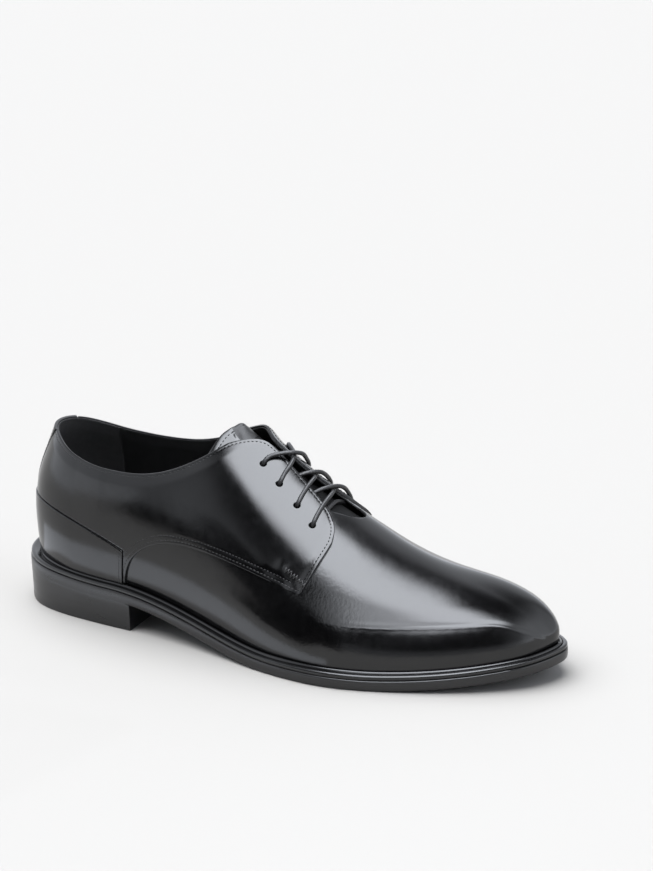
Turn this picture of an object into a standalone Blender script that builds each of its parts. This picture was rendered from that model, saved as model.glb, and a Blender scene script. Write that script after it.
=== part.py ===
"""Right derby shoe in black leather, plain toe, four eyelets a side.

Sizes are millimetres in the last's own frame: x runs from the back of the heel to the toe, y to the
medial side, z up from the floor. Meshes are written in metres about the middle of the outsole's box.
"""
import math

import bmesh
import bpy
import numpy as np
from mathutils import Matrix

for old in list(bpy.data.objects):
    bpy.data.objects.remove(old, do_unlink=True)

MM = 0.001
GAP = 0.3                # clearance that neighbouring pieces keep

# Sole
LENGTH = 300.0           # outsole, back of heel to toe
TIP_SWING = 9.0          # toe tip towards the medial side
SOLE_THICK = 5.6
SEAT_HEIGHT = 15.5       # outsole's underside above the floor at the heel breast
HEEL_PITCH = 3.4         # extra height at the back of the heel seat
HEEL_BREAST = 75.0
WAIST_START = 60.0
TREAD_START = 165.0
TREAD_END = 212.0
TOE_SPRING = 9.2
HEEL_INSET = 0.5

# Half widths of the outsole to each side of the x axis
SOLE_COLUMNS = ("x", "lateral", "medial")
SOLE_ROWS = (
    (3.0, 14.0, 14.0),
    (12.0, 25.5, 25.5),
    (28.0, 32.7, 31.5),
    (55.0, 36.8, 32.5),
    (85.0, 39.3, 30.0),
    (120.0, 45.0, 27.0),
    (155.0, 53.5, 31.0),
    (190.0, 57.5, 42.2),
    (215.0, 53.0, 47.4),
    (240.0, 44.0, 47.2),
    (262.0, 33.5, 42.2),
    (280.0, 21.8, 33.8),
    (292.0, 10.2, 23.8),
    (298.5, -2.0, 15.4),
)

# Profile of the outsole's edge: distance in from the outline, height above its underside
EDGE_COLUMNS = ("inset", "height")
EDGE_ROWS = (
    (0.9, 0.0),
    (0.1, 0.9),
    (0.0, 4.9),
    (0.5, SOLE_THICK),
)

# Profile of the welt, height above its seat: ledge, groove, bead, shelf under the upper
WELT_COLUMNS = ("inset", "height")
WELT_ROWS = (
    (0.6, 0.0),
    (0.3, 0.9),
    (0.8, 2.2),
    (2.3, 2.4),
    (2.7, 1.6),
    (3.1, 2.7),
    (3.9, 3.4),
    (4.5, 3.1),
    (4.7, 2.2),
    (7.0, 2.2),
    (7.0, 0.0),
)
WELT_LEDGE = 2.5         # rows further in than this follow the feather edge
WELT_SHELF = 2.2
WELT_TOP = 3.4

# Last
FEATHER_INSET = 5.0      # upper's edge inside the outsole's outline
FEATHER_RISE = SOLE_THICK + GAP + WELT_SHELF + GAP
HEEL_CENTRE = 40.0       # the heel's sections fan out from here
TOP_BACK = 17.5          # back of the last's top line
TOP_ROUND = 55.0         # where the top line's round back ends
RIDGE_CLOSE = 145.0      # the top line closes to one ridge here
UPPER_WALL = 1.5

RIDGE_COLUMNS = ("x", "z")
RIDGE_ROWS = (
    (17.5, 101.0),
    (45.0, 103.5),
    (75.0, 108.0),
    (105.0, 112.3),
    (125.0, 110.0),
    (142.0, 101.5),
    (160.0, 88.2),
    (177.0, 77.3),
    (188.0, 70.8),
    (202.0, 63.8),
    (218.0, 57.2),
    (238.0, 50.4),
    (259.0, 44.5),
    (275.0, 39.0),
    (285.0, 33.6),
    (292.0, 26.6),
)

TOP_COLUMNS = ("x", "half_width")
TOP_ROWS = (
    (55.0, 20.5),
    (75.0, 18.6),
    (100.0, 12.5),
    (118.0, 6.8),
    (132.0, 2.6),
    (145.0, 0.0),
)

# Shape of each section: lean of the wall at the feather edge and how far it holds, then the turn of
# the top and how far that holds
SECTION_COLUMNS = ("x", "lean_lateral", "lean_medial", "wall_hold", "top_turn", "top_lateral", "top_medial")
SECTION_ROWS = (
    (40.0, 14.0, 14.0, 0.41, 70.0, 0.34, 0.34),
    (75.0, 12.0, 15.0, 0.40, 62.0, 0.34, 0.34),
    (110.0, 8.0, 18.0, 0.42, 46.0, 0.34, 0.34),
    (140.0, 4.0, 16.0, 0.44, 22.0, 0.33, 0.32),
    (165.0, 2.0, 10.0, 0.46, 6.0, 0.34, 0.31),
    (190.0, 1.0, 5.0, 0.48, 0.0, 0.36, 0.31),
    (220.0, 0.0, 2.0, 0.52, 0.0, 0.38, 0.32),
    (250.0, 0.0, 0.0, 0.56, 0.0, 0.40, 0.36),
    (275.0, 0.0, 0.0, 0.58, 0.0, 0.42, 0.40),
    (295.0, 0.0, 0.0, 0.58, 0.0, 0.44, 0.44),
)
HEEL_BACK = (4.6, 4.6, 0.64, 71.8, 0.5, 0.5)   # the same columns straight behind the heel
HEEL_TUCK = 2.7          # how far the feather edge moves in there

# Pattern lines seen from the side
COLLAR_COLUMNS = ("x", "z")
COLLAR_ROWS = (
    (10.0, 95.5),
    (18.0, 94.5),
    (27.0, 91.0),
    (38.0, 87.2),
    (50.0, 85.0),
    (62.0, 84.4),
    (81.0, 85.7),
    (100.0, 91.7),
    (115.0, 100.0),
    (123.0, 104.8),
    (133.0, 107.5),
)
COUNTER_COLUMNS = ("x", "z")
COUNTER_ROWS = (
    (0.0, 60.5),
    (16.0, 59.5),
    (32.0, 56.8),
    (57.0, 49.8),
    (71.5, 44.3),
)
COUNTER_FOOT = 68.5      # x of the counter's front end at the welt
LOWER_SEAM_COLUMNS = ("x", "z")
LOWER_SEAM_ROWS = (
    (70.0, 18.0),
    (72.0, 27.0),
    (75.5, 35.0),
    (82.0, 44.0),
    (94.0, 51.0),
    (107.0, 53.0),
    (130.0, 51.6),
    (157.0, 46.8),
    (177.5, 41.5),
)
FRONT_EDGE_COLUMNS = ("x", "z")
FRONT_EDGE_ROWS = (
    (177.5, 41.5),
    (182.0, 54.0),
    (184.6, 62.0),
    (185.4, 68.0),
    (185.4, 82.0),
)

# Facing edge seen from above, from its rounded top to its rounded front corner
FACING_COLUMNS = ("x", "half_gap")
FACING_ROWS = (
    (120.0, 18.0),
    (127.8, 10.5),
    (133.0, 6.4),
    (138.0, 3.8),
    (144.0, 2.9),
    (150.0, 3.7),
    (159.0, 5.5),
    (168.5, 8.1),
    (177.0, 11.6),
    (181.6, 15.8),
    (184.2, 21.0),
    (185.3, 28.5),
    (185.6, 36.0),
)
THROAT_END = 184.0       # the vamp's edge at the middle of the throat
THROAT_RECESS = 0.8      # the lining stands back from the facing's edge

QUARTER_THICK = 1.2
COUNTER_THICK = 1.7
STRIP_THICK = 1.4
STRIP_HALF = 10.5        # back strip's half width

# Eyelets seen from above
EYELET_COLUMNS = ("x", "half_spread")
EYELET_ROWS = (
    (140.8, 13.6),
    (151.3, 16.5),
    (162.8, 19.5),
    (173.2, 23.0),
)
EYELET_DIAMETER = 3.2
LACE_DIAMETER = 2.3

# Tongue: how far it lies under the last's surface and how far it spreads from the middle
TONGUE_COLUMNS = ("x", "depth", "lateral", "medial")
TONGUE_ROWS = (
    (118.0, 2.2, 13.0, 12.0),
    (124.0, 2.7, 17.0, 15.0),
    (142.0, 2.7, 23.0, 19.0),
    (160.0, 2.7, 25.0, 20.0),
    (180.0, 2.7, 25.0, 21.0),
    (199.0, 2.5, 23.0, 20.0),
)
TONGUE_THICK = 2.0

INSOLE_INSET = 7.4
INSOLE_THICK = 3.2


def column(columns, rows, name):
    k = columns.index(name)
    return np.array([row[k] for row in rows], float)


def spline(knots, values, periodic=False):
    """Cubic curve with continuous curvature through the values."""
    knots = np.asarray(knots, float)
    values = np.asarray(values, float)
    n = len(knots)
    h = np.diff(knots)
    system = np.zeros((n, n))
    right = np.zeros((n,) + values.shape[1:])
    for i in range(1, n - 1):
        system[i, i - 1:i + 2] = h[i - 1], 2 * (h[i - 1] + h[i]), h[i]
        right[i] = 6 * ((values[i + 1] - values[i]) / h[i] - (values[i] - values[i - 1]) / h[i - 1])
    if periodic:
        system[0, 0] = 2 * (h[0] + h[-1])
        system[0, 1] = h[0]
        system[0, n - 2] = h[-1]
        right[0] = 6 * ((values[1] - values[0]) / h[0] - (values[-1] - values[-2]) / h[-1])
        system[n - 1, 0] = 1
        system[n - 1, n - 1] = -1
    else:
        system[0, 0] = 1
        system[n - 1, n - 1] = 1
    bend = np.linalg.solve(system, right)

    def curve(at):
        at = np.asarray(at, float)
        i = np.clip(np.searchsorted(knots, at, side="right") - 1, 0, n - 2)
        shape = at.shape + (1,) * (values.ndim - 1)
        d = (at - knots[i]).reshape(shape)
        w = h[i].reshape(shape)
        slope = (values[i + 1] - values[i]) / w - w * (2 * bend[i] + bend[i + 1]) / 6
        return values[i] + d * (slope + d * (bend[i] / 2 + d * (bend[i + 1] - bend[i]) / (6 * w)))

    return curve


def path(points, count):
    """Smooth line through 2-D points, evenly spaced in the root of its length."""
    points = np.asarray(points, float)
    knots = np.concatenate([[0.0], np.cumsum(np.sqrt(np.hypot(*np.diff(points, axis=0).T)))])
    return spline(knots, points)(np.linspace(0.0, knots[-1], count))


def table_path(columns, rows, count):
    return path(np.column_stack([column(columns, rows, name) for name in columns]), count)


def sole_bottom(x):
    """Height of the outsole's underside: heel pitch, waist, flat tread and toe spring."""
    x = np.asarray(x, float)
    waist = np.clip((x - WAIST_START) / (TREAD_START - WAIST_START), 0.0, 1.0)
    pitch = HEEL_PITCH * np.clip((WAIST_START - x) / WAIST_START, 0.0, None) ** 1.4
    spring = TOE_SPRING * np.clip((x - TREAD_END) / (LENGTH - TREAD_END), 0.0, None) ** 1.75
    return SEAT_HEIGHT * (1 - waist * waist * (3 - 2 * waist)) + pitch + spring


def feather_height(x):
    return sole_bottom(x) + FEATHER_RISE


def outline_curve():
    x = column(SOLE_COLUMNS, SOLE_ROWS, "x")
    lateral = np.column_stack([x, -column(SOLE_COLUMNS, SOLE_ROWS, "lateral")])
    medial = np.column_stack([x, column(SOLE_COLUMNS, SOLE_ROWS, "medial")])[::-1]
    points = np.vstack([(0.0, 0.0), lateral, (LENGTH, TIP_SWING), medial, (0.0, 0.0)])
    knots = np.concatenate([[0.0], np.cumsum(np.sqrt(np.hypot(*np.diff(points, axis=0).T)))])
    return spline(knots, points, periodic=True), knots[1 + len(x)], knots[-1]


OUTLINE, TIP_KNOT, END_KNOT = outline_curve()


def outline_at(s, inset):
    """Points of the sole's outline moved inwards."""
    step = 1e-3
    run = OUTLINE(np.mod(s + step, END_KNOT)) - OUTLINE(np.mod(s - step, END_KNOT))
    run /= np.linalg.norm(run, axis=1)[:, None]
    return OUTLINE(np.mod(s, END_KNOT)) - inset * np.column_stack([run[:, 1], -run[:, 0]])


def outline_side(side, inset, count=4000):
    """One side of the outline from heel back to toe tip; side is -1 lateral or +1 medial."""
    if side < 0:
        return outline_at(np.linspace(0.0, TIP_KNOT, count), inset)
    return outline_at(np.linspace(END_KNOT, TIP_KNOT, count), inset)


FEATHER = {side: outline_side(side, FEATHER_INSET) for side in (-1, 1)}
TOE_X = FEATHER[-1][-1, 0]


def ridge_line(count=6000):
    rows = np.vstack([np.array(RIDGE_ROWS, float), (TOE_X, feather_height(TOE_X))])
    mirrored = (rows[-2, 0], 2 * rows[-1, 1] - rows[-2, 1])
    points = np.vstack([rows, mirrored])
    knots = np.concatenate([[0.0], np.cumsum(np.sqrt(np.hypot(*np.diff(points, axis=0).T)))])
    return spline(knots, points)(np.linspace(0.0, knots[-2], count))


RIDGE = ridge_line()
TOP_CURVE = spline(column(TOP_COLUMNS, TOP_ROWS, "x"), column(TOP_COLUMNS, TOP_ROWS, "half_width"))


def section_curve():
    """Section shape against x, level at the first row, from where the heel keeps it."""
    rows = np.array(SECTION_ROWS, float)
    mirrored = rows[1].copy()
    mirrored[0] = 2 * rows[0, 0] - rows[1, 0]
    rows = np.vstack([mirrored, rows])
    return spline(rows[:, 0], rows[:, 1:])


SECTIONS = section_curve()


def ridge_height(x):
    return np.interp(x, RIDGE[:, 0], RIDGE[:, 1])


def ridge_swing(x):
    return TIP_SWING * np.clip((np.asarray(x, float) - 150.0) / (TOE_X - 150.0), 0.0, 1.0) ** 1.5


def top_half(x):
    """Half width of the last's top line: round at the back, closing to the ridge."""
    x = np.asarray(x, float)
    part = np.clip((TOP_ROUND - x) / (TOP_ROUND - TOP_BACK), 0.0, 1.0)
    back = TOP_ROWS[0][1] * np.sqrt(1 - part ** 2)
    front = np.where(x < RIDGE_CLOSE, TOP_CURVE(np.clip(x, TOP_ROUND, RIDGE_CLOSE)), 0.0)
    return np.where(x < TOP_ROUND, back, front)


def polar(points):
    """Angle round the heel centre from straight back, and distance."""
    near = points[points[:, 0] <= HEEL_CENTRE + 8.0]
    back = HEEL_CENTRE - near[:, 0]
    side = np.abs(near[:, 1])
    return np.arctan2(side, back), np.hypot(side, back)


TOP_SAMPLE = TOP_BACK + (HEEL_CENTRE + 8.0 - TOP_BACK) * np.linspace(0.0, 1.0, 2000) ** 2
TOP_POLAR = polar(np.column_stack([TOP_SAMPLE, top_half(TOP_SAMPLE)]))
FEATHER_POLAR = {side: polar(FEATHER[side]) for side in (-1, 1)}


def section_controls(side, u):
    """Control points of each section: u 0 to 1 fans round the heel, 1 to 2 runs on to the toe."""
    u = np.asarray(u, float)
    angle = np.clip(u, 0.0, 1.0) * math.pi / 2
    fore = u > 1.0
    x = HEEL_CENTRE + (TOE_X - HEEL_CENTRE) * np.sin(np.clip(u - 1.0, 0.0, 1.0) * math.pi / 2)
    out_x = np.where(fore, 0.0, -np.cos(angle))
    out_y = np.where(fore, side, side * np.sin(angle))
    behind = np.where(fore, 0.0, np.cos(angle) ** 1.5)
    foot_r = np.interp(angle, *FEATHER_POLAR[side]) - HEEL_TUCK * behind
    top_r = np.interp(angle, *TOP_POLAR)
    foot_x = np.where(fore, x, HEEL_CENTRE + out_x * foot_r)
    foot_y = np.where(fore, np.interp(x, FEATHER[side][:, 0], FEATHER[side][:, 1]), out_y * foot_r)
    top_x = np.where(fore, x, HEEL_CENTRE + out_x * top_r)
    top_y = np.where(fore, ridge_swing(x) + side * top_half(x), out_y * top_r)
    foot = np.column_stack([foot_x, foot_y, feather_height(foot_x)])
    top = np.column_stack([top_x, top_y, ridge_height(top_x)])
    behind = behind[:, None]
    shape = SECTIONS(np.maximum(foot_x, HEEL_CENTRE)) * (1 - behind) + np.array(HEEL_BACK) * behind
    lean = np.radians(shape[:, 0 if side < 0 else 1])
    turn = np.radians(shape[:, 3])
    hold = shape[:, 2] * (top[:, 2] - foot[:, 2])
    reach = shape[:, 4 if side < 0 else 5] * np.linalg.norm(top - foot, axis=1)
    out = np.column_stack([out_x, out_y, 0 * out_x])
    up = np.array([0.0, 0.0, 1.0])
    wall = foot + hold[:, None] * (np.cos(lean)[:, None] * up + np.sin(lean)[:, None] * out)
    roof = top + reach[:, None] * (np.cos(turn)[:, None] * out - np.sin(turn)[:, None] * up)
    return foot, wall, roof, top


def last_points(side, u, t):
    """Points of the last: u and t are arrays of one shape, t 0 at the feather edge, 1 at the top."""
    foot, wall, roof, top = section_controls(side, u)
    t = np.asarray(t, float)[:, None]
    s = 1 - t
    return s ** 3 * foot + 3 * t * s * s * wall + 3 * t * t * s * roof + t ** 3 * top


def last_normals(side, u, t):
    step = 2e-4
    u = np.asarray(u, float)
    t = np.asarray(t, float)
    along = last_points(side, np.minimum(u + step, 2.0), t) - last_points(side, np.maximum(u - step, -1.0), t)
    across = last_points(side, u, np.minimum(t + step, 1.0)) - last_points(side, u, np.maximum(t - step, 0.0))
    normal = -side * np.cross(along, across)
    return normal / np.maximum(np.linalg.norm(normal, axis=1), 1e-12)[:, None]


def last_grid(side, u, t, rise=0.0):
    """Grid of points on the last, moved out by rise; t may vary with u."""
    t = np.broadcast_to(t, (len(u), np.shape(t)[-1]))
    uu = np.repeat(u, t.shape[1])
    flat = last_points(side, uu, t.ravel())
    if rise:
        flat = flat + rise * last_normals(side, uu, t.ravel())
    return flat.reshape(len(u), t.shape[1], 3)


def find_on_last(side, x, y):
    """u and t of the last's surface over plan position (x, y), ahead of the heel."""
    u = 1.0 + math.asin((x - HEEL_CENTRE) / (TOE_X - HEEL_CENTRE)) * 2 / math.pi
    t = np.linspace(0.45, 1.0, 1200)
    line = last_points(side, np.full(len(t), u), t)
    order = np.argsort(side * line[:, 1])
    return u, float(np.interp(side * y, side * line[order, 1], t[order]))


def on_last(side, x, y, rise=0.0):
    """Point over plan position (x, y), moved out by rise, and the outward normal there."""
    u, t = find_on_last(side, x, y)
    normal = last_normals(side, [u], [t])[0]
    return last_points(side, [u], [t])[0] + rise * normal, normal


STATIONS = 47
ROW_X = LENGTH * (1 - np.cos(np.linspace(0.0, math.pi, STATIONS + 1))) / 2


def station_knots(side, row_x):
    knots = np.linspace(0.0, TIP_KNOT, 4000) if side < 0 else np.linspace(END_KNOT, TIP_KNOT, 4000)
    return np.interp(row_x, outline_side(side, 0.0)[:, 0], knots)


BOX = np.vstack([outline_at(station_knots(side, ROW_X), 0.0) for side in (-1, 1)])
ORIGIN = np.array([BOX[:, 0].min() + BOX[:, 0].max(), BOX[:, 1].min() + BOX[:, 1].max(), 0.0]) / 2


def metres(points):
    return (np.asarray(points, float) - ORIGIN) * MM


def new_collection(name):
    made = bpy.data.collections.new(name)
    bpy.context.scene.collection.children.link(made)
    return made


PARTS = new_collection("derby_shoe")
CUTTERS = new_collection("cutters")


def material(name, colour, roughness):
    made = bpy.data.materials.new(name)
    made.use_nodes = True
    shader = made.node_tree.nodes["Principled BSDF"]
    shader.inputs["Base Color"].default_value = (*colour, 1.0)
    shader.inputs["Roughness"].default_value = roughness
    shader.inputs["Metallic"].default_value = 0.0
    made.diffuse_color = (*colour, 1.0)
    return made


CALF = material("calf", (0.012, 0.012, 0.013), 0.18)
SOLE_EDGE = material("sole_edge", (0.030, 0.030, 0.032), 0.50)
LINING = material("lining", (0.016, 0.016, 0.017), 0.60)
WAXED = material("waxed_lace", (0.018, 0.018, 0.020), 0.45)


def add_object(name, bm, collection, look=None):
    mesh = bpy.data.meshes.new(name)
    bm.to_mesh(mesh)
    bm.free()
    made = bpy.data.objects.new(name, mesh)
    collection.objects.link(made)
    if look:
        mesh.materials.append(look)
        mesh.shade_smooth()
        mesh.set_sharp_from_angle(angle=math.radians(35))
    return made


def grid_mesh(grids, merge=0.01):
    """Open surface over grids of points, facing out, with shared edges merged."""
    bm = bmesh.new()
    for side, grid in grids:
        rows = [[bm.verts.new(p) for p in line] for line in metres(grid)]
        for a, b in zip(rows, rows[1:]):
            for j in range(len(a) - 1):
                for ring in ((a[j], b[j], b[j + 1]), (a[j], b[j + 1], a[j + 1])):
                    bm.faces.new(ring[::-1] if side > 0 else ring)
    bmesh.ops.remove_doubles(bm, verts=bm.verts, dist=merge * MM)
    bmesh.ops.dissolve_degenerate(bm, edges=bm.edges, dist=merge * MM)
    return bm


def loops_mesh(loops, closed_profile):
    """Skin between closed loops of points; caps are ladders from side to side."""
    bm = bmesh.new()
    rings = [[bm.verts.new(p) for p in metres(loop)] for loop in loops]
    count = len(rings[0])
    pairs = list(zip(rings, rings[1:]))
    if closed_profile:
        pairs.append((rings[-1], rings[0]))
    for low, high in pairs:
        for i in range(count):
            j = (i + 1) % count
            bm.faces.new((low[i], low[j], high[j], high[i]))
    if not closed_profile:
        for ring in (rings[0], rings[-1]):
            for i in range(count // 2):
                corners = [ring[i], ring[i + 1], ring[count - i - 1], ring[-i]]
                kept = list(dict.fromkeys(corners))
                if len(kept) > 2:
                    bm.faces.new(kept)
    bmesh.ops.recalc_face_normals(bm, faces=bm.faces)
    return bm


LATERAL_KNOTS = station_knots(-1, ROW_X)
MEDIAL_KNOTS = station_knots(1, ROW_X)
LOOP_KNOTS = np.concatenate([LATERAL_KNOTS, MEDIAL_KNOTS[1:-1][::-1]])


def heel_tuck(points):
    """How far the feather edge moves in behind the heel, at points of the outline."""
    angle = np.arctan2(np.abs(points[:, 1]), HEEL_CENTRE - points[:, 0])
    return HEEL_TUCK * np.clip(np.cos(angle), 0.0, 1.0) ** 1.5


def rim(inset, base, height, tucked=False):
    """Loop round the shoe at an inset and a height above a base that follows x."""
    points = outline_at(LOOP_KNOTS, inset)
    if tucked:
        points = outline_at(LOOP_KNOTS, (inset + heel_tuck(points))[:, None])
    return np.column_stack([points, base(points[:, 0]) + height])


def prism(name, outline, axis, low, high):
    """Cutter: a 2-D outline in (x, z) pushed along y, or in (x, y) pushed along z."""
    bm = bmesh.new()
    for level in (low, high):
        if axis == "y":
            points = [(p[0], level, p[1]) for p in outline]
        else:
            points = [(p[0], p[1], level) for p in outline]
        for p in metres(points):
            bm.verts.new(p)
    bm.verts.ensure_lookup_table()
    n = len(outline)
    bottom = [bm.verts[i] for i in range(n)]
    top = [bm.verts[n + i] for i in range(n)]
    bm.faces.new(bottom)
    bm.faces.new(top)
    for i in range(n):
        j = (i + 1) % n
        bm.faces.new((bottom[i], bottom[j], top[j], top[i]))
    bmesh.ops.recalc_face_normals(bm, faces=bm.faces)
    made = add_object(name, bm, CUTTERS)
    made.hide_render = True
    made.display_type = "WIRE"
    return made


def solidify(piece, thickness, outwards):
    mod = piece.modifiers.new("wall", "SOLIDIFY")
    mod.thickness = thickness * MM
    mod.offset = 1.0 if outwards else -1.0
    mod.use_even_offset = True
    mod.use_quality_normals = True


def cut(piece, cutter, operation):
    mod = piece.modifiers.new(cutter.name, "BOOLEAN")
    mod.operation = operation
    mod.object = cutter
    mod.solver = "EXACT"


# Lines that the upper and what lies on it share, so that their facets run parallel
HEEL_LINES = np.linspace(0.0, 1.0, 9)
FORE_LINES = np.linspace(1.0, 2.0, 25)[1:]
LINES = np.concatenate([HEEL_LINES, FORE_LINES])
ROWS = np.linspace(0.0, 1.0, 11)


def overlay_start(side, u):
    """Value of t that clears the welt's bead at each section."""
    foot, wall, _, _ = section_controls(side, u)
    rise = WELT_TOP - WELT_SHELF + GAP
    return rise / np.maximum(3 * (wall[:, 2] - foot[:, 2]), 1.0)


# Sole pieces
outsole_loops = [rim(inset, sole_bottom, height) for inset, height in EDGE_ROWS]
outsole = add_object("outsole", loops_mesh(outsole_loops, False), PARTS, SOLE_EDGE)


def welt_seat(x):
    return sole_bottom(x) + SOLE_THICK + GAP


welt_loops = [rim(inset, welt_seat, height, inset > WELT_LEDGE) for inset, height in WELT_ROWS]
welt = add_object("welt", loops_mesh(welt_loops, True), PARTS, SOLE_EDGE)

insole_loops = [rim(INSOLE_INSET, welt_seat, height, True) for height in (0.0, INSOLE_THICK)]
insole = add_object("insole", loops_mesh(insole_loops, False), PARTS, LINING)


def heel_loop(inset, height):
    row_x = HEEL_BREAST * (1 - np.cos(np.linspace(0.0, math.pi / 2, 15)))
    lateral = outline_at(station_knots(-1, row_x), inset)
    medial = outline_at(station_knots(1, row_x), inset)[1:][::-1]
    points = np.vstack([lateral, medial])
    points[:, 0] = np.minimum(points[:, 0], HEEL_BREAST)
    return np.column_stack([points, height(points[:, 0])])


def heel_mesh():
    bottom = heel_loop(HEEL_INSET + 0.3, lambda x: 0 * x)
    top = heel_loop(HEEL_INSET, lambda x: sole_bottom(x) - GAP)
    bm = bmesh.new()
    rings = [[bm.verts.new(p) for p in metres(loop)] for loop in (bottom, top)]
    count = len(bottom)
    for i in range(count):
        j = (i + 1) % count
        bm.faces.new((rings[0][i], rings[0][j], rings[1][j], rings[1][i]))
    for ring in rings:
        bm.faces.new((ring[0], ring[1], ring[-1]))
        for i in range(1, count // 2):
            bm.faces.new((ring[i], ring[i + 1], ring[count - i - 1], ring[count - i]))
    bmesh.ops.recalc_face_normals(bm, faces=bm.faces)
    return bm


heel = add_object("heel", heel_mesh(), PARTS, SOLE_EDGE)

# Cutters from the pattern lines
collar_line = table_path(COLLAR_COLUMNS, COLLAR_ROWS, 30)
counter_line = table_path(COUNTER_COLUMNS, COUNTER_ROWS, 12)
seam_line = table_path(LOWER_SEAM_COLUMNS, LOWER_SEAM_ROWS, 25)
front_line = table_path(FRONT_EDGE_COLUMNS, FRONT_EDGE_ROWS, 9)
facing_line = table_path(FACING_COLUMNS, FACING_ROWS, 30)


def collar_prism(name, drop):
    low = collar_line - np.array([0.0, drop])
    outline = [(-20.0, low[0, 1])] + [tuple(p) for p in low] + [(134.0, 140.0), (-20.0, 140.0)]
    return prism(name, outline, "y", -90.0, 90.0)


def slot_outline(line):
    lateral = [(x, -gap) for x, gap in line]
    medial = [(x, gap) for x, gap in line[::-1]]
    return lateral + medial


def throat_line():
    """The lining's slot: the facing's edge, stood back, closed by the vamp's edge."""
    kept = facing_line[facing_line[:, 0] < THROAT_END - 8.0] + np.array([0.0, THROAT_RECESS])
    half = kept[-1, 1]
    corner = [(THROAT_END - 3.2, half + 1.2), (THROAT_END - 0.8, half * 0.75), (THROAT_END, half * 0.3)]
    return np.vstack([kept, corner])


upper_collar = collar_prism("cut_upper_collar", 0.3)
quarter_collar = collar_prism("cut_quarter_collar", 0.0)
facing_slot = prism("cut_facing_slot", slot_outline(facing_line), "z", 40.0, 140.0)
throat_slot = prism("cut_throat_slot", slot_outline(throat_line()), "z", 40.0, 140.0)


def eyelet_cutter(name, side, x, spread):
    point, normal = on_last(side, x, side * spread)
    bm = bmesh.new()
    bmesh.ops.create_cone(bm, cap_ends=True, segments=10, radius1=EYELET_DIAMETER * MM / 2,
                          radius2=EYELET_DIAMETER * MM / 2, depth=14.0 * MM)
    made = add_object(name, bm, CUTTERS)
    made.location = metres(point)
    z_axis = normal / np.linalg.norm(normal)
    x_axis = np.cross((1.0, 0.0, 0.0), z_axis)
    x_axis /= np.linalg.norm(x_axis)
    y_axis = np.cross(z_axis, x_axis)
    made.rotation_mode = "QUATERNION"
    made.rotation_quaternion = Matrix(np.column_stack([x_axis, y_axis, z_axis]).tolist()).to_quaternion()
    made.hide_render = True
    made.display_type = "WIRE"
    return made


eyelets = {
    side: [eyelet_cutter(f"cut_eyelet_{'right' if side < 0 else 'left'}_{k + 1}", side, x, spread)
           for k, (x, spread) in enumerate(EYELET_ROWS)]
    for side in (-1, 1)
}

# Upper
upper = add_object("upper", grid_mesh([(side, last_grid(side, LINES, ROWS)) for side in (-1, 1)]), PARTS, CALF)
solidify(upper, UPPER_WALL, False)
cut(upper, upper_collar, "DIFFERENCE")
cut(upper, throat_slot, "DIFFERENCE")
for side in (-1, 1):
    for cutter in eyelets[side]:
        cut(upper, cutter, "DIFFERENCE")


# Quarters, counter and back strip
def overlay_grid(side, first, last, rows):
    """Patch of the last just above the upper, between two of its lines."""
    u = LINES[(LINES >= first) & (LINES <= last)]
    t = np.maximum(overlay_start(side, u)[:, None], ROWS[None, :rows])
    return last_grid(side, u, t, GAP)


def quarter_outline():
    above_counter = counter_line + np.array([0.0, GAP])
    foot = [(COUNTER_FOOT + GAP, 12.0), (seam_line[0, 0], 12.0)]
    back = [(-20.0, above_counter[0, 1])]
    top = [(185.6, 140.0), (-20.0, 140.0)]
    corner = above_counter[-1] + np.array([GAP, 0.0])
    return (back + [tuple(p) for p in above_counter] + [tuple(corner)] + foot
            + [tuple(p) for p in seam_line] + [tuple(p) for p in front_line[1:]] + top)


def counter_outline():
    return ([(-20.0, counter_line[0, 1])] + [tuple(p) for p in counter_line]
            + [(COUNTER_FOOT, 12.0), (-20.0, 12.0)])


quarter_side = prism("cut_quarter_side", quarter_outline(), "y", -90.0, 90.0)
counter_side = prism("cut_counter_side", counter_outline(), "y", -90.0, 90.0)
strip_clear = prism("cut_strip_clear", [(-20.0, -STRIP_HALF - GAP), (36.0, -STRIP_HALF - GAP),
                                        (36.0, STRIP_HALF + GAP), (-20.0, STRIP_HALF + GAP)], "z", 0.0, 140.0)
strip_band = prism("cut_strip_band", [(-20.0, -STRIP_HALF), (36.0, -STRIP_HALF),
                                      (36.0, STRIP_HALF), (-20.0, STRIP_HALF)], "z", 0.0, 140.0)
strip_side = prism("cut_strip_side", [(-20.0, counter_line[0, 1] + GAP)]
                   + [tuple(p + (0.0, GAP)) for p in counter_line] + [(71.5, 140.0), (-20.0, 140.0)],
                   "y", -90.0, 90.0)

for side, name in ((-1, "quarter_right"), (1, "quarter_left")):
    grid = overlay_grid(side, 0.1, 1.46, len(ROWS))
    quarter = add_object(name, grid_mesh([(side, grid)]), PARTS, CALF)
    solidify(quarter, QUARTER_THICK, True)
    cut(quarter, strip_clear, "DIFFERENCE")
    cut(quarter, quarter_side, "INTERSECT")
    cut(quarter, quarter_collar, "DIFFERENCE")
    cut(quarter, facing_slot, "DIFFERENCE")
    for cutter in eyelets[side]:
        cut(quarter, cutter, "DIFFERENCE")

counter = add_object("heel_counter", grid_mesh([(side, overlay_grid(side, 0.0, 1.18, 8)) for side in (-1, 1)]),
                     PARTS, CALF)
solidify(counter, COUNTER_THICK, True)
cut(counter, counter_side, "INTERSECT")

strip = add_object("back_strip", grid_mesh([(side, overlay_grid(side, 0.0, 0.8, len(ROWS))) for side in (-1, 1)]),
                   PARTS, CALF)
solidify(strip, STRIP_THICK, True)
cut(strip, strip_band, "INTERSECT")
cut(strip, strip_side, "INTERSECT")
cut(strip, quarter_collar, "DIFFERENCE")


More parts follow.
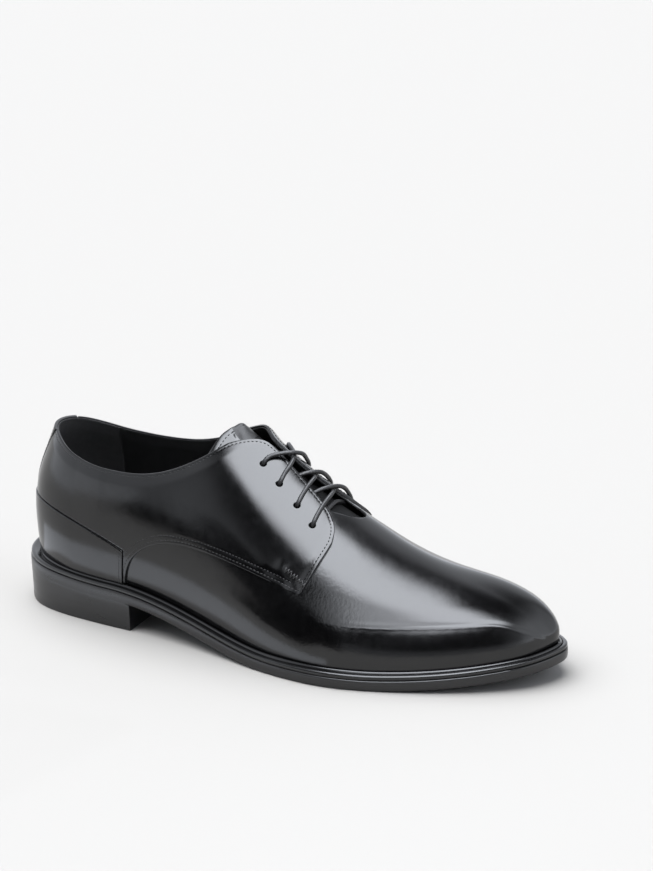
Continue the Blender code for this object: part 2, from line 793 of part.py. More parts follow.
# Tongue
def tongue_grid(lengthwise, half_count):
    rows = spline(column(TONGUE_COLUMNS, TONGUE_ROWS, "x"), np.array(TONGUE_ROWS, float)[:, 1:])
    grid = []
    for x in np.linspace(TONGUE_ROWS[0][0], TONGUE_ROWS[-1][0], lengthwise):
        depth, lateral, medial = rows(x)
        halves = []
        for side, spread in ((-1, lateral), (1, medial)):
            u, edge = find_on_last(side, x, ridge_swing(x) + side * spread)
            t = np.linspace(edge, 1.0, half_count)
            uu = np.full(half_count, u)
            halves.append(last_points(side, uu, t) - depth * last_normals(side, uu, t))
        middle = (halves[0][-1:] + halves[1][-1:]) / 2
        grid.append(np.vstack([halves[0][:-1], middle, halves[1][-2::-1]]))
    return np.array(grid)


tongue = add_object("tongue", grid_mesh([(-1, tongue_grid(13, 6))]), PARTS, CALF)
solidify(tongue, TONGUE_THICK, False)


# Lace
def tube(name, points, collection):
    data = bpy.data.curves.new(name, "CURVE")
    data.dimensions = "3D"
    data.bevel_depth = LACE_DIAMETER * MM / 2
    data.bevel_resolution = 2
    data.use_fill_caps = True
    line = data.splines.new("POLY")
    line.points.add(len(points) - 1)
    for knot, p in zip(line.points, metres(points)):
        knot.co = (*p, 1.0)
    drawn = bpy.data.objects.new(name + "_curve", data)
    collection.objects.link(drawn)
    evaluated = drawn.evaluated_get(bpy.context.evaluated_depsgraph_get())
    mesh = bpy.data.meshes.new_from_object(evaluated)
    bm = bmesh.new()
    bm.from_mesh(mesh)
    bmesh.ops.remove_doubles(bm, verts=bm.verts, dist=0.00001)
    bmesh.ops.recalc_face_normals(bm, faces=bm.faces)
    bm.to_mesh(mesh)
    bm.free()
    mesh.name = name
    made = bpy.data.objects.new(name, mesh)
    made.matrix_world = drawn.matrix_world.copy()
    collection.objects.link(made)
    bpy.data.objects.remove(drawn, do_unlink=True)
    return made


LACE_RISE = GAP + QUARTER_THICK + 0.3 + LACE_DIAMETER / 2
LACE_DIP = 0.6           # rise left where a strand goes under the facing across the throat
EYELET_CLEAR = EYELET_DIAMETER / 2 + 0.6


def half_gap(x):
    return float(np.interp(x, facing_line[:, 0], facing_line[:, 1]))


def lace_points(side, start, end):
    """Strand from beside its eyelet, over the facing and the throat, to the edge of the facing across."""
    x0, spread0 = EYELET_ROWS[start]
    x1, spread1 = EYELET_ROWS[end]
    middle = x0 + (x1 - x0) * spread0 / (spread0 + spread1)
    reach = half_gap(middle) - LACE_DIAMETER / 2 - 0.3
    points = []
    for across in np.linspace(-(spread0 - EYELET_CLEAR), reach, 8):
        part = (across + spread0) / (spread0 + spread1)
        dip = np.clip((across + reach) / (2 * reach), 0.0, 1.0) ** 2
        rise = LACE_RISE + (LACE_DIP - LACE_RISE) * dip
        point, _ = on_last(side if across < 0 else -side, x0 + (x1 - x0) * part, -side * across, rise)
        points.append(point)
    return points


for k in range(3):
    over = tube(f"lace_cross_{k + 1}", lace_points(-1, k + 1, k), PARTS)
    over.data.materials.append(WAXED)
    under = tube(f"cut_lace_strand_{k + 1}", lace_points(1, k + 1, k), CUTTERS)
    under.hide_render = True
    under.display_type = "WIRE"
    cut(over, under, "UNION")

bar_x = EYELET_ROWS[3][0] + 3.0
bar_half = half_gap(bar_x) - LACE_DIAMETER / 2 - 0.2
bar_line = [on_last(-1 if y < ridge_swing(bar_x) else 1, bar_x, y, -0.7)[0]
            for y in np.linspace(-bar_half, bar_half, 7)]
bar = tube("lace_bar", bar_line, PARTS)
bar.data.materials.append(WAXED)
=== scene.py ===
"""Looks for the right derby shoe: leather panels, stitching, lace, sole, floor, light and camera.

Sizes are millimetres in the last's own frame, as in the part's source: x from the back of the heel to
the toe, y to the medial side, z up from the floor. metres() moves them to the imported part's frame.
"""
import math

import bpy
import numpy as np
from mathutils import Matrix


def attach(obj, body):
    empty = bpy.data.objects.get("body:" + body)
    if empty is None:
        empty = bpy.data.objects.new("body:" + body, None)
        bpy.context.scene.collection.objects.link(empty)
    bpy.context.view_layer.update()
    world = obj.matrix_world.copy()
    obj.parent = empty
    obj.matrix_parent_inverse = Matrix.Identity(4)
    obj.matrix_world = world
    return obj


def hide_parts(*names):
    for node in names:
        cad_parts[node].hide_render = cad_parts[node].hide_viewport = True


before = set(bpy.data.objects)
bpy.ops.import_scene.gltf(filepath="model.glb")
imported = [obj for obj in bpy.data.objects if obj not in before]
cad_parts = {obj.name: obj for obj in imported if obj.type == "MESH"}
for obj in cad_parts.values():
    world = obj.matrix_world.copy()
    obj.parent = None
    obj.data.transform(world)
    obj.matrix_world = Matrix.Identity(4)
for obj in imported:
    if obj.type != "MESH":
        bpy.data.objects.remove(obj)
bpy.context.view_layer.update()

MM = 0.001
GAP = 0.3                # clearance that the part's pieces keep

# Sole
LENGTH = 300.0
TIP_SWING = 9.0
SOLE_THICK = 5.6
SEAT_HEIGHT = 15.5
HEEL_PITCH = 3.4
HEEL_BREAST = 75.0
WAIST_START = 60.0
TREAD_START = 165.0
TREAD_END = 212.0
TOE_SPRING = 9.2
HEEL_INSET = 0.5

# Outline of the outsole, as x and half widths to the lateral and medial side of the x axis
SOLE_ROWS = (
    (3.0, 14.0, 14.0),
    (12.0, 25.5, 25.5),
    (28.0, 32.7, 31.5),
    (55.0, 36.8, 32.5),
    (85.0, 39.3, 30.0),
    (120.0, 45.0, 27.0),
    (155.0, 53.5, 31.0),
    (190.0, 57.5, 42.2),
    (215.0, 53.0, 47.4),
    (240.0, 44.0, 47.2),
    (262.0, 33.5, 42.2),
    (280.0, 21.8, 33.8),
    (292.0, 10.2, 23.8),
    (298.5, -2.0, 15.4),
)

# Profile of the outsole's edge: distance in from the outline, height above its underside
EDGE_ROWS = (
    (3.0, 0.0),
    (1.2, 0.0),
    (0.6, 0.12),
    (0.22, 0.45),
    (0.08, 0.9),
    (0.0, 2.6),
    (0.0, 4.6),
    (0.08, 5.1),
    (0.25, 5.42),
    (0.6, SOLE_THICK),
    (3.0, SOLE_THICK),
)

# Profile of the welt, height above its seat: ledge, groove, bead, shelf under the upper
WELT_ROWS = (
    (0.75, 0.0),
    (0.45, 0.2),
    (0.32, 0.6),
    (0.3, 1.2),
    (0.42, 1.75),
    (0.7, 2.12),
    (1.1, 2.3),
    (1.7, 2.4),
    (2.15, 2.4),
    (2.4, 2.28),
    (2.55, 1.95),
    (2.7, 1.6),
    (2.85, 1.7),
    (2.98, 2.2),
    (3.15, 2.75),
    (3.4, 3.12),
    (3.75, 3.36),
    (4.1, 3.36),
    (4.4, 3.15),
    (4.62, 2.75),
    (4.7, 2.2),
    (7.0, 2.2),
    (7.0, 0.0),
)
WELT_LEDGE = 2.5         # rows further in than this follow the feather edge
WELT_SHELF = 2.2
WELT_TOP = 3.4

# Last
FEATHER_INSET = 5.0
FEATHER_RISE = SOLE_THICK + GAP + WELT_SHELF + GAP
HEEL_CENTRE = 40.0
TOP_BACK = 17.5
TOP_ROUND = 55.0
RIDGE_CLOSE = 145.0
TOP_FALL = 0.2           # slope of the top line's half width past there
TOP_BLEND = 1.2          # how softly it stops at zero
TOP_END = (175.0, 25.0)  # where it has faded out, and over what length
SWING_START = 150.0      # the ridge swings to the medial side from here on
UPPER_WALL = 1.5

# Ridge of the last, as x and height
RIDGE_ROWS = (
    (17.5, 101.0),
    (45.0, 103.5),
    (75.0, 108.0),
    (105.0, 112.3),
    (125.0, 110.0),
    (142.0, 101.5),
    (160.0, 88.2),
    (177.0, 77.3),
    (188.0, 70.8),
    (202.0, 63.8),
    (218.0, 57.2),
    (238.0, 50.4),
    (259.0, 44.5),
    (275.0, 39.0),
    (285.0, 33.6),
    (292.0, 26.6),
)

# Top line of the last, as x and half width
TOP_ROWS = (
    (55.0, 20.5),
    (75.0, 18.6),
    (100.0, 12.5),
    (118.0, 6.8),
    (132.0, 2.6),
    (145.0, 0.0),
)

# Shape of each section at x: lean of its wall at the feather edge, lateral and medial, and how far that
# holds, then the turn of the top, and how far that holds, lateral and medial
SECTION_ROWS = (
    (40.0, 14.0, 14.0, 0.41, 70.0, 0.34, 0.34),
    (75.0, 12.0, 15.0, 0.40, 62.0, 0.34, 0.34),
    (110.0, 8.0, 18.0, 0.42, 46.0, 0.34, 0.34),
    (140.0, 4.0, 16.0, 0.44, 22.0, 0.33, 0.32),
    (165.0, 2.0, 10.0, 0.46, 6.0, 0.34, 0.31),
    (190.0, 1.0, 5.0, 0.48, 0.0, 0.36, 0.31),
    (220.0, 0.0, 2.0, 0.52, 0.0, 0.38, 0.32),
    (250.0, 0.0, 0.0, 0.56, 0.0, 0.40, 0.36),
    (275.0, 0.0, 0.0, 0.58, 0.0, 0.42, 0.40),
    (295.0, 0.0, 0.0, 0.58, 0.0, 0.44, 0.44),
)
HEEL_BACK = (4.6, 4.6, 0.64, 71.8, 0.5, 0.5)   # the same columns straight behind the heel
HEEL_TUCK = 2.7          # how far the feather edge moves in there

# Pattern lines seen from the side, as x and z
COLLAR_ROWS = (
    (10.0, 95.5),
    (18.0, 94.5),
    (27.0, 91.0),
    (38.0, 87.2),
    (50.0, 85.0),
    (62.0, 84.4),
    (81.0, 85.7),
    (100.0, 91.7),
    (115.0, 100.0),
    (123.0, 104.8),
    (133.0, 107.5),
)
COUNTER_ROWS = (
    (0.0, 60.5),
    (16.0, 59.5),
    (32.0, 56.8),
    (57.0, 49.8),
    (71.5, 44.3),
)
COUNTER_FOOT = 68.5      # x of the counter's front edge where it is upright, below COUNTER_LOW
COUNTER_LOW = 12.0
LOWER_SEAM_ROWS = (
    (70.0, 18.0),
    (71.2, 26.0),
    (73.2, 34.0),
    (77.0, 41.5),
    (83.5, 47.6),
    (93.0, 52.2),
    (107.0, 54.2),
    (130.0, 52.2),
    (157.0, 46.8),
    (177.5, 41.5),
)
FRONT_EDGE_ROWS = (
    (177.5, 41.5),
    (182.0, 54.0),
    (184.6, 62.0),
    (185.4, 68.0),
    (185.4, 82.0),
)

# Facing edge seen from above, as x and half gap
FACING_ROWS = (
    (117.0, 16.8),
    (122.0, 13.4),
    (125.0, 11.3),
    (128.0, 9.1),
    (131.0, 7.0),
    (134.0, 5.0),
    (137.0, 3.6),
    (140.0, 3.0),
    (144.0, 2.9),
    (150.0, 3.7),
    (159.0, 5.5),
    (168.5, 8.1),
    (177.0, 11.6),
    (181.6, 15.8),
    (184.2, 21.0),
    (185.3, 28.5),
    (185.6, 36.0),
)
THROAT_CLOSE = 173.0     # the vamp's edge closes the throat from here on

# Vamp's edge across the throat, seen from above
VAMP_EDGE = (
    (177.5, -9.5),
    (180.5, -7.6),
    (184.0, -5.3),
    (187.0, -2.6),
    (189.5, 1.5),
    (190.2, 5.0),
    (188.4, 8.6),
    (184.5, 11.3),
    (180.0, 12.5),
)
THROAT_RECESS = 0.8
QUARTER_RISE = GAP + 1.2
COUNTER_RISE = GAP + 1.7
STRIP_RISE = GAP + 1.4
STRIP_HALF = 10.5

# Eyelets seen from above, as x and half spread
EYELET_ROWS = (
    (140.8, 13.6),
    (151.3, 16.5),
    (162.8, 19.5),
    (173.2, 23.0),
)
EYELET_DIAMETER = 3.2
LACE_DIAMETER = 2.3
INSOLE_INSET = 7.4
INSOLE_THICK = 3.2
PART_STATIONS = 47


def spline(knots, values, periodic=False):
    """Cubic curve with continuous curvature through the values."""
    knots = np.asarray(knots, float)
    values = np.asarray(values, float)
    n = len(knots)
    h = np.diff(knots)
    system = np.zeros((n, n))
    right = np.zeros((n,) + values.shape[1:])
    for i in range(1, n - 1):
        system[i, i - 1:i + 2] = h[i - 1], 2 * (h[i - 1] + h[i]), h[i]
        right[i] = 6 * ((values[i + 1] - values[i]) / h[i] - (values[i] - values[i - 1]) / h[i - 1])
    if periodic:
        system[0, 0] = 2 * (h[0] + h[-1])
        system[0, 1] = h[0]
        system[0, n - 2] = h[-1]
        right[0] = 6 * ((values[1] - values[0]) / h[0] - (values[-1] - values[-2]) / h[-1])
        system[n - 1, 0] = 1
        system[n - 1, n - 1] = -1
    else:
        system[0, 0] = 1
        system[n - 1, n - 1] = 1
    bend = np.linalg.solve(system, right)

    def curve(at):
        at = np.asarray(at, float)
        i = np.clip(np.searchsorted(knots, at, side="right") - 1, 0, n - 2)
        shape = at.shape + (1,) * (values.ndim - 1)
        d = (at - knots[i]).reshape(shape)
        w = h[i].reshape(shape)
        slope = (values[i + 1] - values[i]) / w - w * (2 * bend[i] + bend[i + 1]) / 6
        return values[i] + d * (slope + d * (bend[i] / 2 + d * (bend[i + 1] - bend[i]) / (6 * w)))

    return curve


def root_knots(points):
    steps = np.linalg.norm(np.diff(points, axis=0), axis=1)
    return np.concatenate([[0.0], np.cumsum(np.sqrt(steps))])


def path(points, count):
    """Smooth line through points, evenly spaced in the root of its length."""
    points = np.asarray(points, float)
    knots = root_knots(points)
    return spline(knots, points)(np.linspace(0.0, knots[-1], count))


def run_of(points):
    """Length of a line up to each of its points."""
    return np.concatenate([[0.0], np.cumsum(np.linalg.norm(np.diff(points, axis=0), axis=1))])


def sampled(at, knots, values):
    """Rows of values, straight between knots."""
    return np.stack([np.interp(at, knots, values[:, k]) for k in range(values.shape[1])], -1)


def even(points, spacing):
    """The same line with evenly spaced points."""
    run = run_of(points)
    count = max(2, int(round(run[-1] / spacing)) + 1)
    return sampled(np.linspace(0.0, run[-1], count), run, points)


def sole_bottom(x):
    """Height of the outsole's underside: heel pitch, waist, flat tread and toe spring."""
    x = np.asarray(x, float)
    waist = np.clip((x - WAIST_START) / (TREAD_START - WAIST_START), 0.0, 1.0)
    pitch = HEEL_PITCH * np.clip((WAIST_START - x) / WAIST_START, 0.0, None) ** 1.4
    spring = TOE_SPRING * np.clip((x - TREAD_END) / (LENGTH - TREAD_END), 0.0, None) ** 1.75
    return SEAT_HEIGHT * (1 - waist * waist * (3 - 2 * waist)) + pitch + spring


def feather_height(x):
    return sole_bottom(x) + FEATHER_RISE


def welt_seat(x):
    return sole_bottom(x) + SOLE_THICK + GAP


def outline_curve():
    rows = np.array(SOLE_ROWS, float)
    lateral = np.column_stack([rows[:, 0], -rows[:, 1]])
    medial = np.column_stack([rows[:, 0], rows[:, 2]])[::-1]
    points = np.vstack([(0.0, 0.0), lateral, (LENGTH, TIP_SWING), medial, (0.0, 0.0)])
    knots = root_knots(points)
    return spline(knots, points, periodic=True), knots[1 + len(rows)], knots[-1]


OUTLINE, TIP_KNOT, END_KNOT = outline_curve()


def outline_at(s, inset):
    """Points of the sole's outline moved inwards."""
    step = 1e-3
    run = OUTLINE(np.mod(s + step, END_KNOT)) - OUTLINE(np.mod(s - step, END_KNOT))
    run /= np.linalg.norm(run, axis=1)[:, None]
    return OUTLINE(np.mod(s, END_KNOT)) - inset * np.column_stack([run[:, 1], -run[:, 0]])


def outline_side(side, inset, count=4000):
    """One side of the outline from heel back to toe tip; side is -1 lateral or +1 medial."""
    start = 0.0 if side < 0 else END_KNOT
    return outline_at(np.linspace(start, TIP_KNOT, count), inset)


FEATHER = {side: outline_side(side, FEATHER_INSET) for side in (-1, 1)}
TOE_X = FEATHER[-1][-1, 0]


def ridge_line(count=6000):
    rows = np.vstack([np.array(RIDGE_ROWS, float), (TOE_X, feather_height(TOE_X))])
    mirrored = (rows[-2, 0], 2 * rows[-1, 1] - rows[-2, 1])
    points = np.vstack([rows, mirrored])
    knots = root_knots(points)
    return spline(knots, points)(np.linspace(0.0, knots[-2], count))


RIDGE = ridge_line()
TOP_CURVE = spline(*np.array(TOP_ROWS, float).T)


def section_curve():
    """Section shape against x, level at the first row, from where the heel keeps it."""
    rows = np.array(SECTION_ROWS, float)
    mirrored = rows[1].copy()
    mirrored[0] = 2 * rows[0, 0] - rows[1, 0]
    rows = np.vstack([mirrored, rows])
    return spline(rows[:, 0], rows[:, 1:])


SECTIONS = section_curve()


def ridge_height(x):
    return np.interp(x, RIDGE[:, 0], RIDGE[:, 1])


def ridge_swing(x):
    part = (np.asarray(x, float) - SWING_START) / (TOE_X - SWING_START)
    return TIP_SWING * np.clip(part, 0.0, 1.0) ** 1.5


def soft_step(part):
    part = np.clip(part, 0.0, 1.0)
    return part * part * (3.0 - 2.0 * part)


def hump(away, width):
    return np.exp(-(away / width) ** 2)


def top_half(x):
    """Half width of the last's top line: round at the back, closing to the ridge."""
    x = np.asarray(x, float)
    part = np.clip((TOP_ROUND - x) / (TOP_ROUND - TOP_BACK), 0.0, 1.0)
    back = TOP_ROWS[0][1] * np.sqrt(1 - part ** 2)
    front = TOP_CURVE(np.clip(x, TOP_ROUND, RIDGE_CLOSE)) - TOP_FALL * np.clip(x - RIDGE_CLOSE, 0.0, None)
    front = (front + np.sqrt(front ** 2 + TOP_BLEND ** 2)) / 2 * soft_step((TOP_END[0] - x) / TOP_END[1])
    return np.where(x < TOP_ROUND, back, front)


def polar(points):
    """Angle round the heel centre from straight back, and distance."""
    near = points[points[:, 0] <= HEEL_CENTRE + 8.0]
    back = HEEL_CENTRE - near[:, 0]
    side = np.abs(near[:, 1])
    return np.arctan2(side, back), np.hypot(side, back)


TOP_SAMPLE = TOP_BACK + (HEEL_CENTRE + 8.0 - TOP_BACK) * np.linspace(0.0, 1.0, 2000) ** 2
TOP_POLAR = polar(np.column_stack([TOP_SAMPLE, top_half(TOP_SAMPLE)]))
FEATHER_POLAR = {side: polar(FEATHER[side]) for side in (-1, 1)}


def section_controls(side, u):
    """Control points of each section: u 0 to 1 fans round the heel, 1 to 2 runs on to the toe."""
    u = np.asarray(u, float)
    angle = np.clip(u, 0.0, 1.0) * math.pi / 2
    fore = u > 1.0
    x = HEEL_CENTRE + (TOE_X - HEEL_CENTRE) * np.sin(np.clip(u - 1.0, 0.0, 1.0) * math.pi / 2)
    out_x = np.where(fore, 0.0, -np.cos(angle))
    out_y = np.where(fore, side, side * np.sin(angle))
    behind = np.where(fore, 0.0, np.cos(angle) ** 1.5)
    foot_r = np.interp(angle, *FEATHER_POLAR[side]) - HEEL_TUCK * behind
    top_r = np.interp(angle, *TOP_POLAR)
    foot_x = np.where(fore, x, HEEL_CENTRE + out_x * foot_r)
    foot_y = np.where(fore, np.interp(x, FEATHER[side][:, 0], FEATHER[side][:, 1]), out_y * foot_r)
    top_x = np.where(fore, x, HEEL_CENTRE + out_x * top_r)
    top_y = np.where(fore, ridge_swing(x) + side * top_half(x), out_y * top_r)
    foot = np.column_stack([foot_x, foot_y, feather_height(foot_x)])
    top = np.column_stack([top_x, top_y, ridge_height(top_x)])
    behind = behind[:, None]
    shape = SECTIONS(np.maximum(foot_x, HEEL_CENTRE)) * (1 - behind) + np.array(HEEL_BACK) * behind
    lean = np.radians(shape[:, 0 if side < 0 else 1])
    turn = np.radians(shape[:, 3])
    hold = shape[:, 2] * (top[:, 2] - foot[:, 2])
    reach = shape[:, 4 if side < 0 else 5] * np.linalg.norm(top - foot, axis=1)
    out = np.column_stack([out_x, out_y, 0 * out_x])
    up = np.array([0.0, 0.0, 1.0])
    wall = foot + hold[:, None] * (np.cos(lean)[:, None] * up + np.sin(lean)[:, None] * out)
    roof = top + reach[:, None] * (np.cos(turn)[:, None] * out - np.sin(turn)[:, None] * up)
    return foot, wall, roof, top


def last_surface(side, u, t):
    """Points and outward normals of the last, columns u by rows t; t may vary with u."""
    u = np.asarray(u, float)
    t = np.broadcast_to(t, (len(u), np.shape(t)[-1]))[..., None]
    s = 1 - t
    weights = (s ** 3, 3 * t * s * s, 3 * t * t * s, t ** 3)
    step = 2e-4

    def mixed(at):
        return sum(w * c[:, None, :] for w, c in zip(weights, section_controls(side, at)))

    foot, wall, roof, top = (c[:, None, :] for c in section_controls(side, u))
    across = s * s * (wall - foot) + 2 * s * t * (roof - wall) + t * t * (top - roof)
    along = mixed(np.minimum(u + step, 2.0)) - mixed(np.maximum(u - step, -1.0))
    normal = -side * np.cross(along, across)
    size = np.linalg.norm(normal, axis=2, keepdims=True)
    return mixed(u), normal / np.maximum(size, 1e-12)


def column_at(x):
    """u of the section at x, ahead of the heel."""
    return 1.0 + np.arcsin((np.asarray(x, float) - HEEL_CENTRE) / (TOE_X - HEEL_CENTRE)) * 2 / math.pi


def on_last(side, x, y, rise=0.0):
    """Point over plan position (x, y), moved out by rise, and the outward normal there."""
    t = np.linspace(0.45, 1.0, 600)
    points, normals = last_surface(side, [float(column_at(x))], t)
    order = np.argsort(side * points[0, :, 1])
    reach = side * points[0, order, 1]
    point = sampled(side * y, reach, points[0, order])
    normal = sampled(side * y, reach, normals[0, order])
    normal /= np.linalg.norm(normal)
    return point + rise * normal, normal


def station_knots(side, row_x):
    start = 0.0 if side < 0 else END_KNOT
    knots = np.linspace(start, TIP_KNOT, 4000)
    return np.interp(row_x, outline_side(side, 0.0)[:, 0], knots)


def station_rows(count):
    return LENGTH * (1 - np.cos(np.linspace(0.0, math.pi, count + 1))) / 2


BOX = np.vstack([outline_at(station_knots(side, station_rows(PART_STATIONS)), 0.0) for side in (-1, 1)])
ORIGIN = np.array([BOX[:, 0].min() + BOX[:, 0].max(), BOX[:, 1].min() + BOX[:, 1].max(), 0.0]) / 2


def metres(points):
    return (np.asarray(points, float) - ORIGIN) * MM


# Sheets of leather
def edge_distance(flat, ring):
    """Signed distance of 2-D points from a closed ring, negative inside, and its direction."""
    distance = np.empty(len(flat))
    direction = np.empty((len(flat), 2))
    a = np.asarray(ring, float)
    b = np.roll(a, -1, axis=0)
    run = b - a
    size = np.maximum((run * run).sum(1), 1e-12)
    for start in range(0, len(flat), 4000):
        p = flat[start:start + 4000, None, :]
        part = np.clip(((p - a) * run).sum(2) / size, 0.0, 1.0)
        away = p - (a + part[..., None] * run)
        far = (away ** 2).sum(2)
        k = far.argmin(1)
        i = np.arange(len(k))
        near = np.sqrt(far[i, k])
        spans = (a[:, 1] > p[..., 1]) != (b[:, 1] > p[..., 1])
        rise = np.where(np.abs(run[:, 1]) < 1e-9, 1e-9, run[:, 1])
        meets = a[:, 0] + (p[..., 1] - a[:, 1]) * run[:, 0] / rise
        inside = (spans & (p[..., 0] < meets)).sum(1) % 2 == 1
        distance[start:start + 4000] = np.where(inside, -near, near)
        direction[start:start + 4000] = away[i, k] / np.maximum(near, 1e-9)[:, None]
    return distance, direction


def along_surface(distance, lean):
    """Distance over a surface whose normal leans by so much towards it."""
    return distance / np.sqrt(np.clip(1 - lean ** 2, 0.05, 1.0))


class Sheet:
    """Polygons over a grid on the last, split and trimmed along lines of named values."""

    def __init__(self, points, normals):
        n, m = points.shape[:2]
        flat = points.reshape(-1, 3)
        _, first, index = np.unique(np.round(flat, 3) + 0.0, axis=0, return_index=True, return_inverse=True)
        cells = index.reshape(n, m)
        normal = np.zeros((len(first), 3))
        np.add.at(normal, cells.ravel(), normals.reshape(-1, 3))
        normal /= np.maximum(np.linalg.norm(normal, axis=1), 1e-9)[:, None]
        point = flat[first]
        corners = (cells[:-1, :-1], cells[1:, :-1], cells[1:, 1:], cells[:-1, 1:])
        quads = np.stack(corners, -1).reshape(-1, 4)
        turn = np.cross(point[quads[:, 2]] - point[quads[:, 0]], point[quads[:, 3]] - point[quads[:, 1]])
        if (turn * normal[quads[:, 0]]).sum() < 0:
            quads = quads[:, ::-1]
        self.polys = []
        for quad in quads.tolist():
            kept = list(dict.fromkeys(quad))
            if len(kept) > 2:
                self.polys.append(kept)
        self.value = {}
        for k, name in enumerate(("x", "y", "z")):
            self.value[name] = point[:, k].tolist()
            self.value["n" + name] = normal[:, k].tolist()

    def get(self, *names):
        found = [np.array(self.value[name]) for name in names]
        return found[0] if len(found) == 1 else np.column_stack(found)

    def put(self, name, values):
        self.value[name] = np.asarray(values, float).tolist()

    def points(self):
        return self.get("x", "y", "z")

    def normals(self):
        made = self.get("nx", "ny", "nz")
        return made / np.linalg.norm(made, axis=1)[:, None]

    def ring_value(self, view, ring):
        """Distance along the surface from a ring drawn in a view, such as "xz", negative inside."""
        distance, direction = edge_distance(self.get(*view), ring)
        lean = (direction * self.get(*("n" + axis for axis in view))).sum(1)
        return along_surface(distance, lean)

    def split(self, name, level, trim=False, snap=0.03):
        """Split the polygons where a value has a level; trim drops what lies above it."""
        value = self.value[name]
        for i, v in enumerate(value):
            if abs(v - level) < snap:
                value[i] = level
        made = {}
        kept = []
        for poly in self.polys:
            local = [value[i] for i in poly]
            if max(local) <= level:
                kept.append(poly)
            elif min(local) >= level:
                if not trim:
                    kept.append(poly)
            else:
                for k in range(1, len(poly) - 1):
                    self.cut((poly[0], poly[k], poly[k + 1]), value, level, made, kept, trim)
        self.polys = kept

    def cut(self, poly, value, level, made, kept, trim):
        low = []
        high = []
        for i, j in zip(poly, poly[1:] + poly[:1]):
            a = value[i] - level
            b = value[j] - level
            if a <= 0:
                low.append(i)
            if a >= 0:
                high.append(i)
            if a * b < 0:
                key = (min(i, j), max(i, j))
                if key not in made:
                    made[key] = self.between(i, j, a / (a - b))
                    value[made[key]] = level
                low.append(made[key])
                high.append(made[key])
        if len(low) > 2 and min(value[i] for i in low) < level:
            kept.append(low)
        if not trim and len(high) > 2 and max(value[i] for i in high) > level:
            kept.append(high)

    def between(self, i, j, part):
        for values in self.value.values():
            values.append(values[i] + (values[j] - values[i]) * part)
        return len(self.value["x"]) - 1

    def borders(self):
        """Directed edges that belong to one polygon only."""
        seen = set()
        for poly in self.polys:
            seen.update(zip(poly, poly[1:] + poly[:1]))
        return [(i, j) for i, j in seen if (j, i) not in seen]

    def lines(self, name, level, shortest=6.0):
        """Chains of vertices along a level that the polygons were split at."""
        value = self.value[name]
        links = {}
        for poly in self.polys:
            for i, j in zip(poly, poly[1:] + poly[:1]):
                if value[i] == level and value[j] == level:
                    links.setdefault(i, set()).add(j)
                    links.setdefault(j, set()).add(i)
        chains = []
        points = self.points()
        while links:
            ends = [i for i in sorted(links) if len(links[i]) == 1]
            here = ends[0] if ends else min(links)
            chain = [here]
            while links.get(here):
                ahead = min(links[here])
                links[here].discard(ahead)
                links[ahead].discard(here)
                chain.append(ahead)
                here = ahead
            links = {i: others for i, others in links.items() if others}
            run = np.linalg.norm(np.diff(points[chain], axis=0), axis=1).sum()
            if run > shortest:
                chains.append(chain)
        return chains


def u_columns(first, behind, last, ahead):
    """Values of u from first to last, so many round the heel and so many ahead of it."""
    return np.concatenate([np.linspace(first, 1.0, behind), np.linspace(1.0, last, ahead)[1:]])


def round_heel(u, t_of):
    """Sheet from one side round the heel to the other; t_of(side, u) gives the rows."""
    lateral = last_surface(-1, u[::-1], t_of(-1, u[::-1]))
    medial = last_surface(1, u[1:], t_of(1, u[1:]))
    return Sheet(np.concatenate([lateral[0], medial[0]]), np.concatenate([lateral[1], medial[1]]))


def overlay_rows(side, u, rows):
    """Rows of t from just above the welt's bead to the top."""
    foot, wall, _, _ = section_controls(side, u)
    low = (WELT_TOP - WELT_SHELF + GAP) / np.maximum(3 * (wall[:, 2] - foot[:, 2]), 1.0)
    return low[:, None] + (1 - low[:, None]) * np.linspace(0.0, 1.0, rows)[None, :]


def mesh_object(name, points, faces, looks, picks=None, sharp=38.0):
    mesh = bpy.data.meshes.new(name)
    mesh.from_pydata(metres(points).tolist(), [], faces)
    for look in looks:
        mesh.materials.append(look)
    if picks is not None:
        mesh.polygons.foreach_set("material_index", np.asarray(picks, np.int32))
    mesh.shade_smooth()
    if sharp:
        mesh.set_sharp_from_angle(angle=math.radians(sharp))
    mesh.validate()
    made = bpy.data.objects.new(name, mesh)
    bpy.context.scene.collection.objects.link(made)
    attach(made, "root")
    return made


def shell(name, sheet, top, bottom, looks, picks):
    """Closed sheet: the polygons at one rise, again at a lower one, and walls between their borders.

    picks are the looks of the top, the bottom and the walls; top and bottom can choose by polygon.
    """
    points = sheet.points()
    normals = sheet.normals()
    upper = points + normals * np.broadcast_to(top, len(points))[:, None]
    lower = points + normals * np.broadcast_to(bottom, len(points))[:, None]
    used = sorted({i for poly in sheet.polys for i in poly})
    place = {i: k for k, i in enumerate(used)}
    count = len(used)
    faces = [[place[i] for i in poly] for poly in sheet.polys]
    faces += [[place[i] + count for i in reversed(poly)] for poly in sheet.polys]
    looks_of = []
    for pick in picks[:2]:
        looks_of += [pick(poly) if callable(pick) else pick for poly in sheet.polys]
    for i, j in sheet.borders():
        faces.append([place[j], place[i], place[i] + count, place[j] + count])
        looks_of.append(picks[2])
    return mesh_object(name, np.vstack([upper[used], lower[used]]), faces, looks, looks_of)


def tube_faces(rings, sides, first=0):
    """Faces of a closed tube whose rings of points follow each other."""
    faces = []
    for low in range(first, first + (rings - 1) * sides, sides):
        for i in range(sides):
            j = (i + 1) % sides
            faces.append([low + i, low + j, low + sides + j, low + sides + i])
    faces.append([first + i for i in reversed(range(sides))])
    faces.append([first + (rings - 1) * sides + i for i in range(sides)])
    return faces


def drawn(rows, count):
    return path(np.array(rows, float), count)


